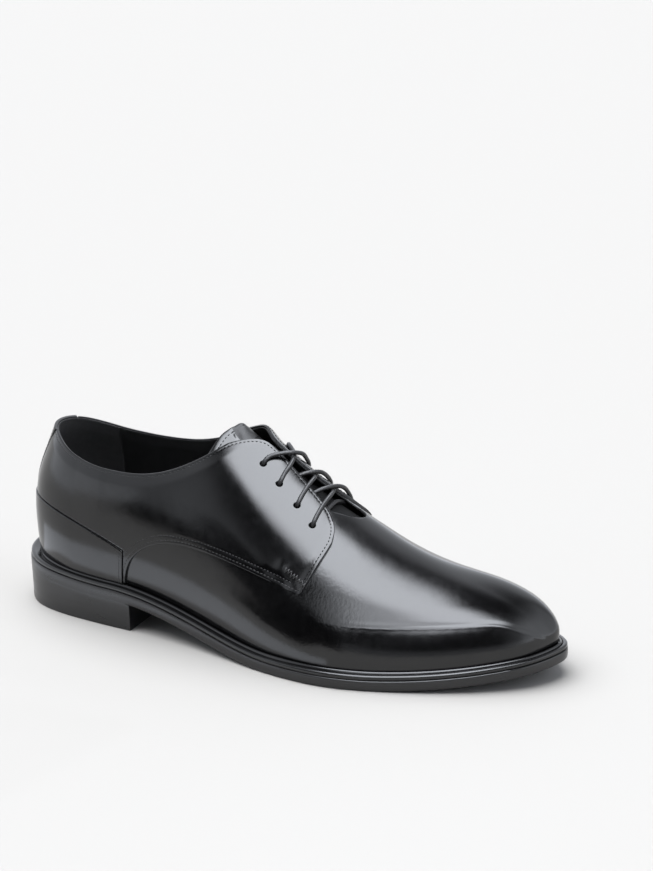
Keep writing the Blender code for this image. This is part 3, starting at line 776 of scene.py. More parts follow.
COLLAR = drawn(COLLAR_ROWS, 90)
COUNTER = drawn(COUNTER_ROWS, 50)
SEAM = drawn(LOWER_SEAM_ROWS, 90)
FRONT = drawn(FRONT_EDGE_ROWS, 40)
FACING = drawn(FACING_ROWS, 110)

# Lines well clear of the shoe, which close the rings
BEHIND = -20.0
AHEAD = 330.0
ABOVE = 140.0
COLLAR_FRONT = 134.0
FRONT_TOP = 185.6
CLEAR = -99.0            # value of a point that a cut doesn't reach


def collar_ring(drop):
    """Side view of what the collar's cut takes away."""
    low = COLLAR - np.array([0.0, drop])
    return np.vstack([(BEHIND, low[0, 1]), low, (COLLAR_FRONT, ABOVE), (BEHIND, ABOVE)])


def slot_ring(line):
    return np.vstack([line * (1, -1), line[::-1]])


def throat_ring():
    """The lining's slot: the facing's edge, stood back, closed by the vamp's edge."""
    kept = FACING[FACING[:, 0] < THROAT_CLOSE] + np.array([0.0, THROAT_RECESS])
    near = kept * (1, -1)
    far = kept[::-1]
    turn = path(np.vstack([near[-3:], VAMP_EDGE, far[:3]]), 90)
    return np.vstack([near[:-3], turn, far[3:]])


def vamp_ring():
    """Side view of what lies below and ahead of the quarter's lower seam and front edge."""
    return np.vstack([(SEAM[0, 0], 0.0), SEAM, FRONT[1:], (FRONT_TOP, ABOVE), (AHEAD, ABOVE), (AHEAD, 0.0)])


def counter_ring(grow):
    """Side view of the counter, with its edge moved out by grow."""
    edge = COUNTER + np.array([0.0, grow])
    foot = COUNTER_FOOT + grow
    return np.vstack([(BEHIND, edge[0, 1]), edge, edge[-1] + (grow, 0.0), (foot, COUNTER_LOW), (foot, 0.0),
                      (BEHIND, 0.0)])


EYELETS = {
    side: [on_last(side, x, side * spread) for x, spread in EYELET_ROWS]
    for side in (-1, 1)
}


def hole_value(sheet, side):
    """How far each point lies inside the nearest eyelet hole."""
    points = sheet.points()
    nearest = np.full(len(points), 1e9)
    for centre, axis in EYELETS[side]:
        away = points - centre
        away -= (away @ axis)[:, None] * axis
        nearest = np.minimum(nearest, np.linalg.norm(away, axis=1))
    same = points[:, 1] * side > 0
    return np.where(same, EYELET_DIAMETER / 2 - nearest, CLEAR)

EDGE_STEPS = (0.0, 0.12, 0.35)
EDGE_DROPS = (-0.36, -0.12, 0.0)
ROW_INSET = 1.8          # stitch row from the quarter's edge
SEAM_INSET = 4.3         # second row along the lower seam
GROOVE_HALF = 0.55
GROOVE_DEPTH = 0.07


def round_edge(sheet, name):
    for step in EDGE_STEPS:
        sheet.split(name, -step, trim=step == 0.0)


def groove_lines(sheet, name, inset):
    for step in (-GROOVE_HALF, 0.0, GROOVE_HALF):
        sheet.split(name, -inset - step)


def groove(sheet, name, inset):
    steps = (inset - GROOVE_HALF, inset, inset + GROOVE_HALF)
    return np.interp(-sheet.get(name), steps, (0.0, -GROOVE_DEPTH, 0.0))


def edge_drop(sheet, name):
    return np.interp(-sheet.get(name), EDGE_STEPS, EDGE_DROPS)


# Materials
NOISE_SPAN = (0.3, 0.7)  # range of a noise that tones and roughnesses are spread over


def new_look(name):
    made = bpy.data.materials.new(name)
    made.use_nodes = True
    return made, made.node_tree, made.node_tree.nodes["Principled BSDF"]


def add_node(tree, kind, **settings):
    node = tree.nodes.new(kind)
    for key, value in settings.items():
        setattr(node, key, value)
    return node


def noise(tree, scale, detail=2.0, rough=0.5, squeeze=None):
    where = add_node(tree, "ShaderNodeTexCoord")
    made = add_node(tree, "ShaderNodeTexNoise")
    made.inputs["Scale"].default_value = scale
    made.inputs["Detail"].default_value = detail
    made.inputs["Roughness"].default_value = rough
    source = where.outputs["Object"]
    if squeeze:
        turn = add_node(tree, "ShaderNodeMapping")
        turn.inputs["Scale"].default_value = squeeze
        tree.links.new(source, turn.inputs["Vector"])
        source = turn.outputs["Vector"]
    tree.links.new(source, made.inputs["Vector"])
    return made.outputs["Fac"]


def cells(tree, scale):
    where = add_node(tree, "ShaderNodeTexCoord")
    made = add_node(tree, "ShaderNodeTexVoronoi")
    made.inputs["Scale"].default_value = scale
    tree.links.new(where.outputs["Object"], made.inputs["Vector"])
    return made.outputs["Distance"]


def calc(tree, operation, *values):
    node = add_node(tree, "ShaderNodeMath", operation=operation)
    for socket, value in zip(node.inputs, values):
        if isinstance(value, (int, float)):
            socket.default_value = value
        else:
            tree.links.new(value, socket)
    return node.outputs["Value"]


def product(tree, first, *rest):
    for value in rest:
        first = calc(tree, "MULTIPLY", first, value)
    return first


def excess(tree, high, low, most=None):
    """How far one value is above another, and no more than most."""
    made = calc(tree, "MAXIMUM", calc(tree, "SUBTRACT", high, low), 0.0)
    return made if most is None else calc(tree, "MINIMUM", made, most)


def fade(tree, value, low, high, start=0.0, end=1.0, kind="SMOOTHSTEP"):
    """start up to low and end from high on."""
    node = add_node(tree, "ShaderNodeMapRange", interpolation_type=kind)
    for name, number in (("From Min", low), ("From Max", high), ("To Min", start), ("To Max", end)):
        node.inputs[name].default_value = number
    tree.links.new(value, node.inputs["Value"])
    return node.outputs["Result"]


def ramp(tree, value, stops, kind="EASE"):
    """Colour by value, from stops of place and colour."""
    node = add_node(tree, "ShaderNodeValToRGB")
    node.color_ramp.interpolation = kind
    elements = node.color_ramp.elements
    while len(elements) < len(stops):
        elements.new(0.5)
    for element, (place, colour) in zip(elements, stops):
        element.position = place
        element.color = (*colour, 1.0)
    tree.links.new(value, node.inputs["Fac"])
    return node.outputs["Color"]


def ranged(tree, source, low, high):
    return fade(tree, source, *NOISE_SPAN, low, high, "LINEAR")


def toned(tree, source, dark, light):
    return ramp(tree, source, list(zip(NOISE_SPAN, (dark, light))), "LINEAR")


def bumped(tree, shader, layers):
    """Chain of bumps: (height, strength, distance in metres) from the broadest to the finest."""
    normal = None
    for height, strength, distance in layers:
        bump = add_node(tree, "ShaderNodeBump")
        bump.inputs["Strength"].default_value = strength
        bump.inputs["Distance"].default_value = distance
        tree.links.new(height, bump.inputs["Height"])
        if normal:
            tree.links.new(normal, bump.inputs["Normal"])
        normal = bump.outputs["Normal"]
    tree.links.new(normal, shader.inputs["Normal"])


def near_point(tree, centre, inner, outer):
    """1 within inner of a place, 0 beyond outer, in metres."""
    where = add_node(tree, "ShaderNodeTexCoord")
    apart = add_node(tree, "ShaderNodeVectorMath", operation="DISTANCE")
    tree.links.new(where.outputs["Object"], apart.inputs[0])
    apart.inputs[1].default_value = centre
    return fade(tree, apart.outputs["Value"], inner, outer, 1.0, 0.0)


def leather(name, dark, light, rough, grain, ior=1.5, worn=None):
    made, tree, shader = new_look(name)
    tree.links.new(toned(tree, noise(tree, 90.0, 4.0), dark, light), shader.inputs["Base Color"])
    tree.links.new(ranged(tree, noise(tree, 260.0, 3.0), *rough), shader.inputs["Roughness"])
    shader.inputs["IOR"].default_value = ior
    layers = [
        (noise(tree, 38.0, 2.0), 0.5, 0.00016 * grain),
        (cells(tree, 850.0), 0.5, 0.000010 * grain),
        (noise(tree, 2100.0, 3.0), 0.5, 0.000006 * grain),
    ]
    if worn:
        fine = noise(tree, 620.0, 2.0, 0.6, (1.0, 0.7, 0.55))
        layers.append((product(tree, fine, near_point(tree, *worn)), 0.5, 0.00014))
    bumped(tree, shader, layers)
    return made


CALF = leather("calf", (0.0012, 0.0012, 0.0014), (0.0024, 0.0024, 0.0027), (0.13, 0.18), 1.0, 1.53,
               ((0.038, -0.046, 0.040), 0.016, 0.038))
LINING = leather("lining", (0.0012, 0.0012, 0.0013), (0.0022, 0.0022, 0.0024), (0.5, 0.62), 4.0, 1.38)
GRIP = leather("heel_grip", (0.0035, 0.0035, 0.0037), (0.006, 0.006, 0.0064), (0.75, 0.9), 9.0, 1.38)
# Painted shade: darker, duller leather for the tongue in the throat under the laces, where it lies in shade
THROAT_SHADE = leather("throat_painted_shade", (0.001, 0.001, 0.0011), (0.002, 0.002, 0.0022), (0.6, 0.75), 6.0, 1.2)
LIP = leather("tongue_lip", (0.002, 0.002, 0.0022), (0.004, 0.004, 0.0044), (0.36, 0.44), 4.0, 1.37)
CUT_EDGE = leather("cut_edge", (0.008, 0.008, 0.009), (0.014, 0.014, 0.015), (0.3, 0.4), 4.0)


def sole_look(name, dark, light, rough, ior):
    made, tree, shader = new_look(name)
    tone = noise(tree, 150.0, 4.0, 0.6, (0.25, 0.25, 2.0))
    tree.links.new(toned(tree, tone, dark, light), shader.inputs["Base Color"])
    tree.links.new(ranged(tree, tone, *rough), shader.inputs["Roughness"])
    shader.inputs["IOR"].default_value = ior
    bumped(tree, shader, [
        (noise(tree, 400.0, 3.0, 0.6, (0.2, 0.2, 2.0)), 0.25, 0.00005),
        (noise(tree, 2500.0, 2.0), 0.4, 0.000012),
    ])
    return made


def thread_look(name, colour, rough, scale, ior):
    made, tree, shader = new_look(name)
    shader.inputs["IOR"].default_value = ior
    tone = noise(tree, scale, 3.0)
    tree.links.new(toned(tree, tone, tuple(0.6 * c for c in colour), colour), shader.inputs["Base Color"])
    tree.links.new(ranged(tree, tone, rough - 0.08, rough + 0.08), shader.inputs["Roughness"])
    bumped(tree, shader, [(tone, 0.5, 0.00008)])
    return made


SOLE = sole_look("sole_edge", (0.007, 0.007, 0.0075), (0.011, 0.011, 0.012), (0.26, 0.36), 1.55)
HEEL = sole_look("heel_stack", (0.0095, 0.0095, 0.010), (0.0145, 0.0145, 0.0155), (0.26, 0.36), 1.55)
WELT = sole_look("welt", (0.003, 0.003, 0.0033), (0.005, 0.005, 0.0055), (0.16, 0.22), 1.55)
THREAD = thread_look("thread", (0.026, 0.026, 0.027), 0.45, 2600.0, 1.35)
DARK_THREAD = thread_look("dark_thread", (0.0022, 0.0022, 0.0023), 0.6, 2600.0, 1.12)
BAR_THREAD = thread_look("bar_thread", (0.030, 0.030, 0.031), 0.25, 2600.0, 1.5)
WAXED = thread_look("waxed_lace", (0.010, 0.010, 0.011), 0.42, 2200.0, 1.45)


# Upper: vamp outside, lining inside; the wing line is seen from the side, as x and z
WING_ROWS = (
    (150.0, 31.0),
    (190.0, 31.0),
    (205.0, 30.5),
    (222.0, 30.4),
    (240.0, 30.9),
    (256.0, 31.4),
    (265.0, 31.7),
    (272.0, 31.3),
    (278.8, 29.4),
    (283.0, 27.6),
    (286.5, 25.9),
    (290.7, 22.8),
    (293.0, 20.5),
    (295.0, 17.0),
)
WING_STEPS = (-5.0, -3.2, -2.0, -1.2, -0.6, 0.0, 0.6, 1.2, 1.8, 2.5, 3.4, 5.0)
WING_SWELL = (0.30, 4.5)         # rise and width of the broad swell along the wing line
WING_RIDGE = (0.10, 0.9)         # rise and width of the fine ridge on it
WING_DIP = (0.08, 1.6, 1.0)      # depth, place and width of the dip above it
WING_SPAN = (186.0, 212.0, 289.0, 293.5)
SKIVE = 6.0                      # width over which the leather thins towards the collar
COLLAR_WALL = 0.7                # its thickness at the collar
COLLAR_DROP = 0.3                # how far the lining stays below the quarter there
LINING_SEAM = 37.0               # x of the seam between the heel grip and the quarter lining
SEAM_HALF = 0.25
GRIP_STEP = 0.35
UPPER_ROWS = 60
FLARE = 2.4                      # how far the tongue holds the medial facing's top corner out
FLARE_X = (130.0, 6.5)           # middle and width
FLARE_Y = (24.0, 13.0)           # where it has ended, and over what length


def wing_relief(sheet):
    """Soft edge along the toe's wings, seen as a crisp end of the highlight."""
    across = sheet.get("wing")
    swell, broad = WING_SWELL
    ridge, narrow = WING_RIDGE
    dip, place, half = WING_DIP
    relief = ridge * hump(across, narrow) - dip * hump(across - place, half) + swell * hump(across, broad)
    return np.interp(sheet.get("x"), WING_SPAN, (0.0, 1.0, 1.0, 0.0)) * relief


def flare(points):
    x, y = points[:, 0], points[:, 1]
    near = hump(x - FLARE_X[0], FLARE_X[1]) * soft_step((FLARE_Y[0] - y) / FLARE_Y[1])
    return np.where(y > 0.0, FLARE * near, 0.0)


# Fullness of the vamp and toe along the ridge, as x and rise
TOE_FILL = (
    (184.0, 0.0),
    (196.0, -0.2),
    (210.0, -0.9),
    (224.0, -1.1),
    (238.0, -0.4),
    (252.0, 0.9),
    (264.0, 1.8),
    (275.0, 2.1),
    (286.0, 1.9),
    (298.0, 1.2),
)
FILL_END = 292.0                 # x past which the rise stays the same
FILL_HEIGHT = 0.85               # part of the ridge's height at which it is full
FILL_NEAR = 0.1                  # share of it on the lateral side
FILL_SIDE = (-1.0, 15.0)         # y from which it grows to the medial side, and over what width


def toe_fill(points):
    x = np.clip(points[:, 0], TOE_FILL[0][0], FILL_END)
    foot = feather_height(x)
    part = (points[:, 2] - foot) / (ridge_height(x) - foot)
    far = FILL_NEAR + (1.0 - FILL_NEAR) * soft_step((points[:, 1] - FILL_SIDE[0]) / FILL_SIDE[1])
    return spline(*np.array(TOE_FILL).T)(x) * soft_step(part / FILL_HEIGHT) * far


def make_upper():
    u = u_columns(0.0, 60, 2.0, 190)
    sheet = round_heel(u, lambda side, at: np.linspace(0.0, 1.0, UPPER_ROWS)[None, :])
    collar = -sheet.ring_value("xz", collar_ring(COLLAR_DROP))
    throat = -sheet.ring_value("xy", throat_ring())
    holes = np.maximum(hole_value(sheet, -1), hole_value(sheet, 1))
    sheet.put("edge", np.maximum(np.maximum(collar, throat), holes))
    sheet.put("collar", collar)
    wing = drawn(WING_ROWS, 160)
    sheet.put("wing", sheet.ring_value("xz", np.vstack([wing, (wing[-1, 0], 0.0), (wing[0, 0], 0.0)])))
    round_edge(sheet, "edge")
    for step in WING_STEPS:
        sheet.split("wing", step)
    seam = (LINING_SEAM - SEAM_HALF, LINING_SEAM + SEAM_HALF)
    for level in seam:
        sheet.split("x", level)
    x = sheet.get("x")
    grip = np.interp(x, seam, (GRIP_STEP, 0.0))
    drop = edge_drop(sheet, "edge")

    def inside(poly):
        return 2 if max(x[i] for i in poly) < LINING_SEAM else 1

    wall = np.interp(-sheet.get("collar"), (0.0, SKIVE), (COLLAR_WALL, UPPER_WALL))
    out = flare(sheet.points()) + toe_fill(sheet.points())
    made = shell("upper_leather", sheet, drop + wing_relief(sheet) + out, out - wall - grip - drop,
                 (CALF, LINING, GRIP, CUT_EDGE), (0, inside, 3))
    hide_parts("upper")


# Stitching
STITCHES = []
STITCH_WIDTH = 0.55
STITCH_HEIGHT = 0.24
STITCH_REACH = 0.4               # a stitch points from this far behind to this far ahead on its line
STITCH_SIDES = 8
STITCH_SLICES = (0.02, 0.14, 0.34, 0.66, 0.86, 0.98)
FACING_START = (116.0, 64.0)     # x and z past which thread is on the facing
FRONT_START = 177.0              # x past which it is on the front edge


def add_row(points, normals, pitch, length, look_of):
    """Stitches along a line of points on the leather."""
    run = run_of(points)
    for at in np.arange(pitch / 2, run[-1] - pitch / 4, pitch):
        behind, middle, ahead = sampled(np.array([at - STITCH_REACH, at, at + STITCH_REACH]), run, points)
        size = (length, STITCH_WIDTH, STITCH_HEIGHT)
        add_stitch(middle, ahead - behind, sampled(at, run, normals), size, look_of(middle))


def add_stitch(middle, along, normal, size, look):
    length, width, height = size
    normal = normal / np.linalg.norm(normal)
    along = along - (along @ normal) * normal
    along /= max(np.linalg.norm(along), 1e-9)
    STITCHES.append((middle, along * length / 2, np.cross(normal, along) * width / 2, normal * height, look))


def edge_look(place):
    """Dark thread round the facing and down the front edge, paler thread in the other seams."""
    x, _, z = place
    on_facing = x > FACING_START[0] and z > FACING_START[1]
    return 1 if on_facing or x > FRONT_START else 0


def sheet_row(sheet, name, level, top, pitch, length, keep=None):
    """Stitch along each chain of a level on a sheet at rise top."""
    points = sheet.points()
    normals = sheet.normals()
    raised = points + normals * np.broadcast_to(top, len(points))[:, None]
    for chain in sheet.lines(name, level):
        kept = chain if keep is None else [i for i in chain if keep(points[i])]
        if len(kept) > 4:
            add_row(raised[kept], normals[kept], pitch, length, edge_look)


def make_stitching():
    around = np.linspace(0.0, 2 * math.pi, STITCH_SIDES, endpoint=False)
    points = []
    faces = []
    looks_of = []
    for middle, along, across, up, look in STITCHES:
        tube = tube_faces(len(STITCH_SLICES), STITCH_SIDES, len(points))
        faces += tube
        looks_of += [look] * len(tube)
        for part in STITCH_SLICES:
            reach = math.sin(part * math.pi) ** 0.6
            sink = 0.5 * up * (2 * abs(part - 0.5)) ** 3
            for a in around:
                turned = reach * (across * math.cos(a) + up * math.sin(a))
                points.append(middle + along * (2 * part - 1) + turned - sink)
    made = mesh_object("stitching", points, faces, (THREAD, DARK_THREAD, BAR_THREAD), looks_of, None)


# Quarters
BARTACK = ((168.0, 53.2), (179.0, 47.2))
BARTACK_COUNT = 15
BARTACK_SIZE = (3.4, 0.62, 0.6)         # length, width and height of its stitches
BARTACK_LEAN = 0.42
PUCKER = (164.8, 54.2, 0.35, 3.0)       # x, z, rise and radius of the swell behind the bar tack
TROUGH = ((157.0, 50.6), (175.0, 43.4), 0.30, 2.0)      # ends, depth and half width
FACING_STITCH = (2.1, 1.55)             # pitch and length
SEAM_STITCH = (1.9, 1.35)
COUNTER_STITCH = (1.9, 1.3)
COUNTER_ROW_START = 4.0                 # how far behind COUNTER_FOOT the counter's row starts
SECOND_UNDER = ((160.0, 176.0), (62.0, 44.0))           # the second row's groove lies below this line
SECOND_END = 172.0                      # its stitches lie behind this x and between these heights
SECOND_SPAN = (26.0, 58.0)
COLLAR_RISE = 0.85                      # rise of the quarter's surface at the collar
FRONT_SWELL = (0.9, 3.5)                # rise and width of the swell along the front edge
FRONT_FADE = (166.0, 8.0)               # x where it starts, and over what length
STRIP_END = 36.0                        # x behind which the strip cuts the quarter
STRIP_INSET = 1.5
SEAT = 0.02                             # rise of an overlay's underside


def near_side(points, x, z):
    """Index of the sheet point nearest to a place in the side view."""
    return int(np.argmin((points[:, 0] - x) ** 2 + (points[:, 2] - z) ** 2))


def pucker(points):
    """Leather drawn up behind the bar tack, with a trough under it."""
    flat = points[:, (0, 2)]
    x, z, rise, radius = PUCKER
    swell = rise * np.exp(-((flat[:, 0] - x) ** 2 + (flat[:, 1] - z) ** 2) / radius ** 2)
    start, end, depth, half = TROUGH
    run = np.array(end) - start
    part = np.clip((flat - start) @ run / (run @ run), 0.0, 1.0)
    away = np.linalg.norm(flat - start - part[:, None] * run, axis=1)
    return swell - depth * hump(away, half)


def add_bartack(points, normals):
    """Zigzag of thick stitches across the end of the lower seam."""
    ends = [near_side(points, *place) for place in BARTACK]
    run = points[ends[1]] - points[ends[0]]
    for step, part in enumerate(np.linspace(0.0, 1.0, BARTACK_COUNT)):
        place = np.array(BARTACK[0]) * (1 - part) + np.array(BARTACK[1]) * part
        k = near_side(points, *place)
        across = np.cross(normals[k], run)
        lean = BARTACK_LEAN if step % 2 else -BARTACK_LEAN
        tilt = across / np.linalg.norm(across) + lean * run / np.linalg.norm(run)
        add_stitch(points[k], tilt, normals[k], BARTACK_SIZE, 2)


def make_quarter(side, name):
    u = u_columns(0.1, 56, 1.405, 170)
    sheet = Sheet(*last_surface(side, u, overlay_rows(side, u, 92)))
    points = sheet.points()
    front = -sheet.ring_value("xz", vamp_ring())
    back = -sheet.ring_value("xz", counter_ring(GAP))
    collar = -sheet.ring_value("xz", collar_ring(0.0))
    slot = -sheet.ring_value("xy", slot_ring(FACING))
    strip = along_surface(STRIP_HALF + GAP - np.abs(points[:, 1]), sheet.get("ny"))
    strip = np.where(points[:, 0] < STRIP_END, strip, CLEAR)
    row = np.maximum(np.maximum(front, collar), slot)
    edge = np.maximum(np.maximum(row, np.maximum(back, strip)), hole_value(sheet, side))
    for key, values in (("front", front), ("collar", collar), ("row", row), ("edge", edge)):
        sheet.put(key, values)
    round_edge(sheet, "edge")
    groove_lines(sheet, "row", ROW_INSET)
    groove_lines(sheet, "front", SEAM_INSET)
    low = sheet.get("z") < np.interp(sheet.get("x"), *SECOND_UNDER)
    second = np.where(low, groove(sheet, "front", SEAM_INSET), 0.0)
    rise = np.interp(-sheet.get("collar"), (0.0, SKIVE), (COLLAR_RISE, QUARTER_RISE))
    out = flare(sheet.points())
    thick = FRONT_SWELL[0] * hump(sheet.get("front"), FRONT_SWELL[1])
    thick = thick * soft_step((sheet.get("x") - FRONT_FADE[0]) / FRONT_FADE[1])
    rise = rise + thick + pucker(sheet.points())
    top = out + rise + edge_drop(sheet, "edge") + np.minimum(groove(sheet, "row", ROW_INSET), second)
    sheet_row(sheet, "row", -ROW_INSET, top, *FACING_STITCH)
    sheet_row(sheet, "front", -SEAM_INSET, top, *SEAM_STITCH,
              keep=lambda p: p[0] < SECOND_END and SECOND_SPAN[0] < p[2] < SECOND_SPAN[1])
    add_bartack(sheet.points() + sheet.normals() * top[:, None], sheet.normals())
    made = shell(name + "_leather", sheet, top, out + SEAT, (CALF, CUT_EDGE), (0, 1, 1))
    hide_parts(name)


def make_counter():
    u = u_columns(0.0, 64, 1.09, 40)
    sheet = round_heel(u, lambda side, at: overlay_rows(side, at, 80))
    edge = sheet.ring_value("xz", counter_ring(0.0))
    sheet.put("edge", edge)
    round_edge(sheet, "edge")
    groove_lines(sheet, "edge", ROW_INSET)
    top = COUNTER_RISE + edge_drop(sheet, "edge")
    sheet_row(sheet, "edge", -ROW_INSET, top, *COUNTER_STITCH,
              keep=lambda p: p[0] > COUNTER_FOOT - COUNTER_ROW_START)
    made = shell("heel_counter_leather", sheet, top, SEAT, (CALF, CUT_EDGE), (0, 1, 1))
    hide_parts("heel_counter")


def make_strip():
    u = np.linspace(0.0, 0.42, 44)
    sheet = round_heel(u, lambda side, at: overlay_rows(side, at, 100))
    half = along_surface(np.abs(sheet.get("y")) - STRIP_HALF, sheet.get("ny"))
    back = -sheet.ring_value("xz", counter_ring(GAP))
    collar = -sheet.ring_value("xz", collar_ring(0.0))
    sheet.put("half", half)
    sheet.put("edge", np.maximum(half, np.maximum(back, collar)))
    round_edge(sheet, "edge")
    groove_lines(sheet, "half", STRIP_INSET)
    top = STRIP_RISE + edge_drop(sheet, "edge") + groove(sheet, "half", STRIP_INSET)
    sheet_row(sheet, "half", -STRIP_INSET, top, *SEAM_STITCH)
    made = shell("back_strip_leather", sheet, top, SEAT, (CALF, CUT_EDGE), (0, 1, 1))
    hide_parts("back_strip")


# Tongue, as x, depth below the last, and spread to the lateral and medial side
TONGUE_ROWS = (
    (108.0, 1.6, 21.0, 19.0),
    (118.0, 2.3, 22.0, 20.0),
    (126.0, 3.0, 22.5, 20.0),
    (136.0, 4.1, 23.0, 20.0),
    (160.0, 4.3, 25.0, 20.0),
    (180.0, 4.1, 25.0, 21.0),
    (190.0, 3.4, 24.0, 20.5),
    (199.0, 2.6, 23.0, 20.0),
)

# Its top edge seen from above, as y and x
TONGUE_EDGE = (
    (-24.0, 110.6),
    (-17.2, 113.4),
    (-13.6, 115.0),
    (-9.4, 116.8),
    (-6.0, 118.2),
    (-2.0, 119.7),
    (2.0, 120.4),
    (6.0, 119.9),
    (10.0, 118.6),
    (22.0, 113.0),
)
TONGUE_END = 198.5
TONGUE_TOP = 117.0       # section whose points give the y of each column at the top
TONGUE_SPACING = 1.3     # rows lie closer near the top
TONGUE_MARGIN = 0.02
TONGUE_THICK = 2.0
TONGUE_ROW = 2.9         # stitch row from the top edge
TONGUE_STITCH = (2.2, 1.5)
MATTE_FROM = 131.0       # painted shade: darker, duller leather from here on, under the laces, where the throat lies in shade
ROLL_STEPS = (0.0, 0.2, 0.6, 1.2, 2.0)
ROLL_DROPS = (-1.3, -0.75, -0.38, -0.12, 0.0)
ROLL_UNDER = 0.25        # share of the drops that the underside follows
ROLL_RISE = 2.1          # padded lip: rise, then middle and width along x and y
ROLL_X = (120.0, 8.0)
ROLL_Y = (0.8, 5.4)
LIP_LINE = (120.0, -5.6, 0.5)    # x and y of a place on the lip's lateral border, and its slope
LIP_ROUND = (0.3, 4.0)   # share of the drops at that border, and width over which they grow
LIP_PLAIN = (-6.5, 11.0)         # y between which the lip has no stitches
VALLEY = (1.5, 2.6)      # depth and width of the valley along the border
VALLEY_START = (118.5, 6.0)      # x from which it deepens, and over what length


def tongue_base(count, across):
    """Arches of the last under the tongue, bridged where its top line is open."""
    rows = spline(np.array(TONGUE_ROWS)[:, 0], np.array(TONGUE_ROWS)[:, 1:])
    xs = np.linspace(TONGUE_ROWS[0][0], TONGUE_ROWS[-1][0], count)
    arches = []
    for x in xs:
        _, lateral, medial = rows(x)
        points = []
        for side, spread in ((-1, lateral), (1, medial)):
            swing = float(ridge_swing(x))
            inner = float(top_half(x))
            reach = np.linspace(1.0, 0.0, 7)[:-1] * (spread - inner - 2.0) + inner + 2.0
            half = [on_last(side, x, swing + side * y)[0] for y in reach]
            points.append(half)
        arch = np.array(points[0] + points[1][::-1])
        knots = run_of(arch)
        arches.append(spline(knots, arch)(np.linspace(0.0, knots[-1], across)))
    return xs, np.array(arches), rows


def lip_side(points):
    """Distance to the medial side of the valley that bounds the padded lip."""
    x, y, slope = LIP_LINE
    return points[:, 1] - y + slope * (points[:, 0] - x)


def tongue_roll(points):
    """Padded lip along the middle of the top edge, with a valley on its near side."""
    x, y = points[:, 0], points[:, 1]
    depth, width = VALLEY
    valley = hump(lip_side(points), width) * soft_step((x - VALLEY_START[0]) / VALLEY_START[1])
    return hump(x - ROLL_X[0], ROLL_X[1]) * (ROLL_RISE * hump(y - ROLL_Y[0], ROLL_Y[1]) - depth * valley)


def make_tongue():
    across = 73
    along = 80
    xs, base, rows = tongue_base(60, across)
    edge = spline(*np.array(TONGUE_EDGE).T)
    ends = (TONGUE_EDGE[0][0], TONGUE_EDGE[-1][0])
    middle = base[np.argmin(np.abs(xs - TONGUE_TOP)), :, 1]
    top_x = edge(np.clip(middle, *ends))
    part = np.linspace(0.0, 1.0, along) ** TONGUE_SPACING
    grid = np.empty((along, across, 3))
    for j in range(across):
        at = top_x[j] + part * (TONGUE_END - top_x[j])
        for k in range(3):
            grid[:, j, k] = spline(xs, base[:, j, k])(at)
    normal = np.cross(np.gradient(grid, axis=0), np.gradient(grid, axis=1))
    normal /= np.linalg.norm(normal, axis=2, keepdims=True)
    normal *= np.sign(normal[along // 2, across // 2, 2])
    sheet = Sheet(grid, normal)
    points = sheet.points()
    sheet.put("edge", edge(np.clip(points[:, 1], *ends)) + TONGUE_MARGIN - points[:, 0])
    depth = rows(np.clip(points[:, 0], *xs[[0, -1]]))[:, 0]
    sheet.put("rise", tongue_roll(points) - depth)
    for step in ROLL_STEPS[1:]:
        sheet.split("edge", -step)
    groove_lines(sheet, "edge", TONGUE_ROW)
    sheet.split("x", MATTE_FROM)
    sheet.put("lip", lip_side(sheet.points()))
    sheet.split("lip", 0.0)
    drop = np.interp(-sheet.get("edge"), ROLL_STEPS, ROLL_DROPS)
    drop *= LIP_ROUND[0] + (1.0 - LIP_ROUND[0]) * soft_step(sheet.get("lip") / LIP_ROUND[1])
    top = sheet.get("rise") + drop + groove(sheet, "edge", TONGUE_ROW)
    sheet_row(sheet, "edge", -TONGUE_ROW, top, *TONGUE_STITCH,
              keep=lambda p: p[1] < LIP_PLAIN[0] or p[1] > LIP_PLAIN[1])
    x = sheet.get("x")
    lip = sheet.get("lip")

    def outside(poly):
        # 3 is the painted shade under the laces, 4 the padded lip, 0 the calf
        if min(x[i] for i in poly) > MATTE_FROM - 0.1:
            return 3
        return 4 if min(lip[i] for i in poly) > -0.01 else 0

    made = shell("tongue_leather", sheet, top, sheet.get("rise") - TONGUE_THICK - ROLL_UNDER * drop,
                 (CALF, LINING, CUT_EDGE, THROAT_SHADE, LIP), (outside, 1, 0))
    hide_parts("tongue")


# Sole pieces
def heel_tuck(points):
    """How far the feather edge moves in behind the heel, at points of the outline."""
    angle = np.arctan2(np.abs(points[:, 1]), HEEL_CENTRE - points[:, 0])
    return HEEL_TUCK * np.clip(np.cos(angle), 0.0, 1.0) ** 1.5


def rim(inset, base, height, tucked=False):
    """Loop round the shoe at an inset and a height above a base that follows x."""
    points = outline_at(LOOP, inset)
    if tucked:
        points = outline_at(LOOP, (inset + heel_tuck(points))[:, None])
    return np.column_stack([points, base(points[:, 0]) + height])


def loop_knots(count):
    rows = station_rows(count)
    return np.concatenate([station_knots(-1, rows), station_knots(1, rows)[1:-1][::-1]])


LOOP = loop_knots(230)


def skin(loops, closed):
    """Points and faces between closed loops; open profiles get caps."""
    count = len(loops[0])
    pairs = list(zip(range(len(loops)), range(1, len(loops))))
    if closed:
        pairs.append((len(loops) - 1, 0))
    faces = []
    for low, high in pairs:
        for i in range(count):
            j = (i + 1) % count
            faces.append([low * count + j, low * count + i, high * count + i, high * count + j])
    if not closed:
        for ring, flip in ((0, False), (len(loops) - 1, True)):
            for i in range(count // 2):
                quad = [ring * count + k for k in (i, i + 1, count - i - 1, (count - i) % count)]
                kept = list(dict.fromkeys(quad))
                if len(kept) > 2:
                    faces.append(kept[::-1] if flip else kept)
    return np.vstack(loops), faces


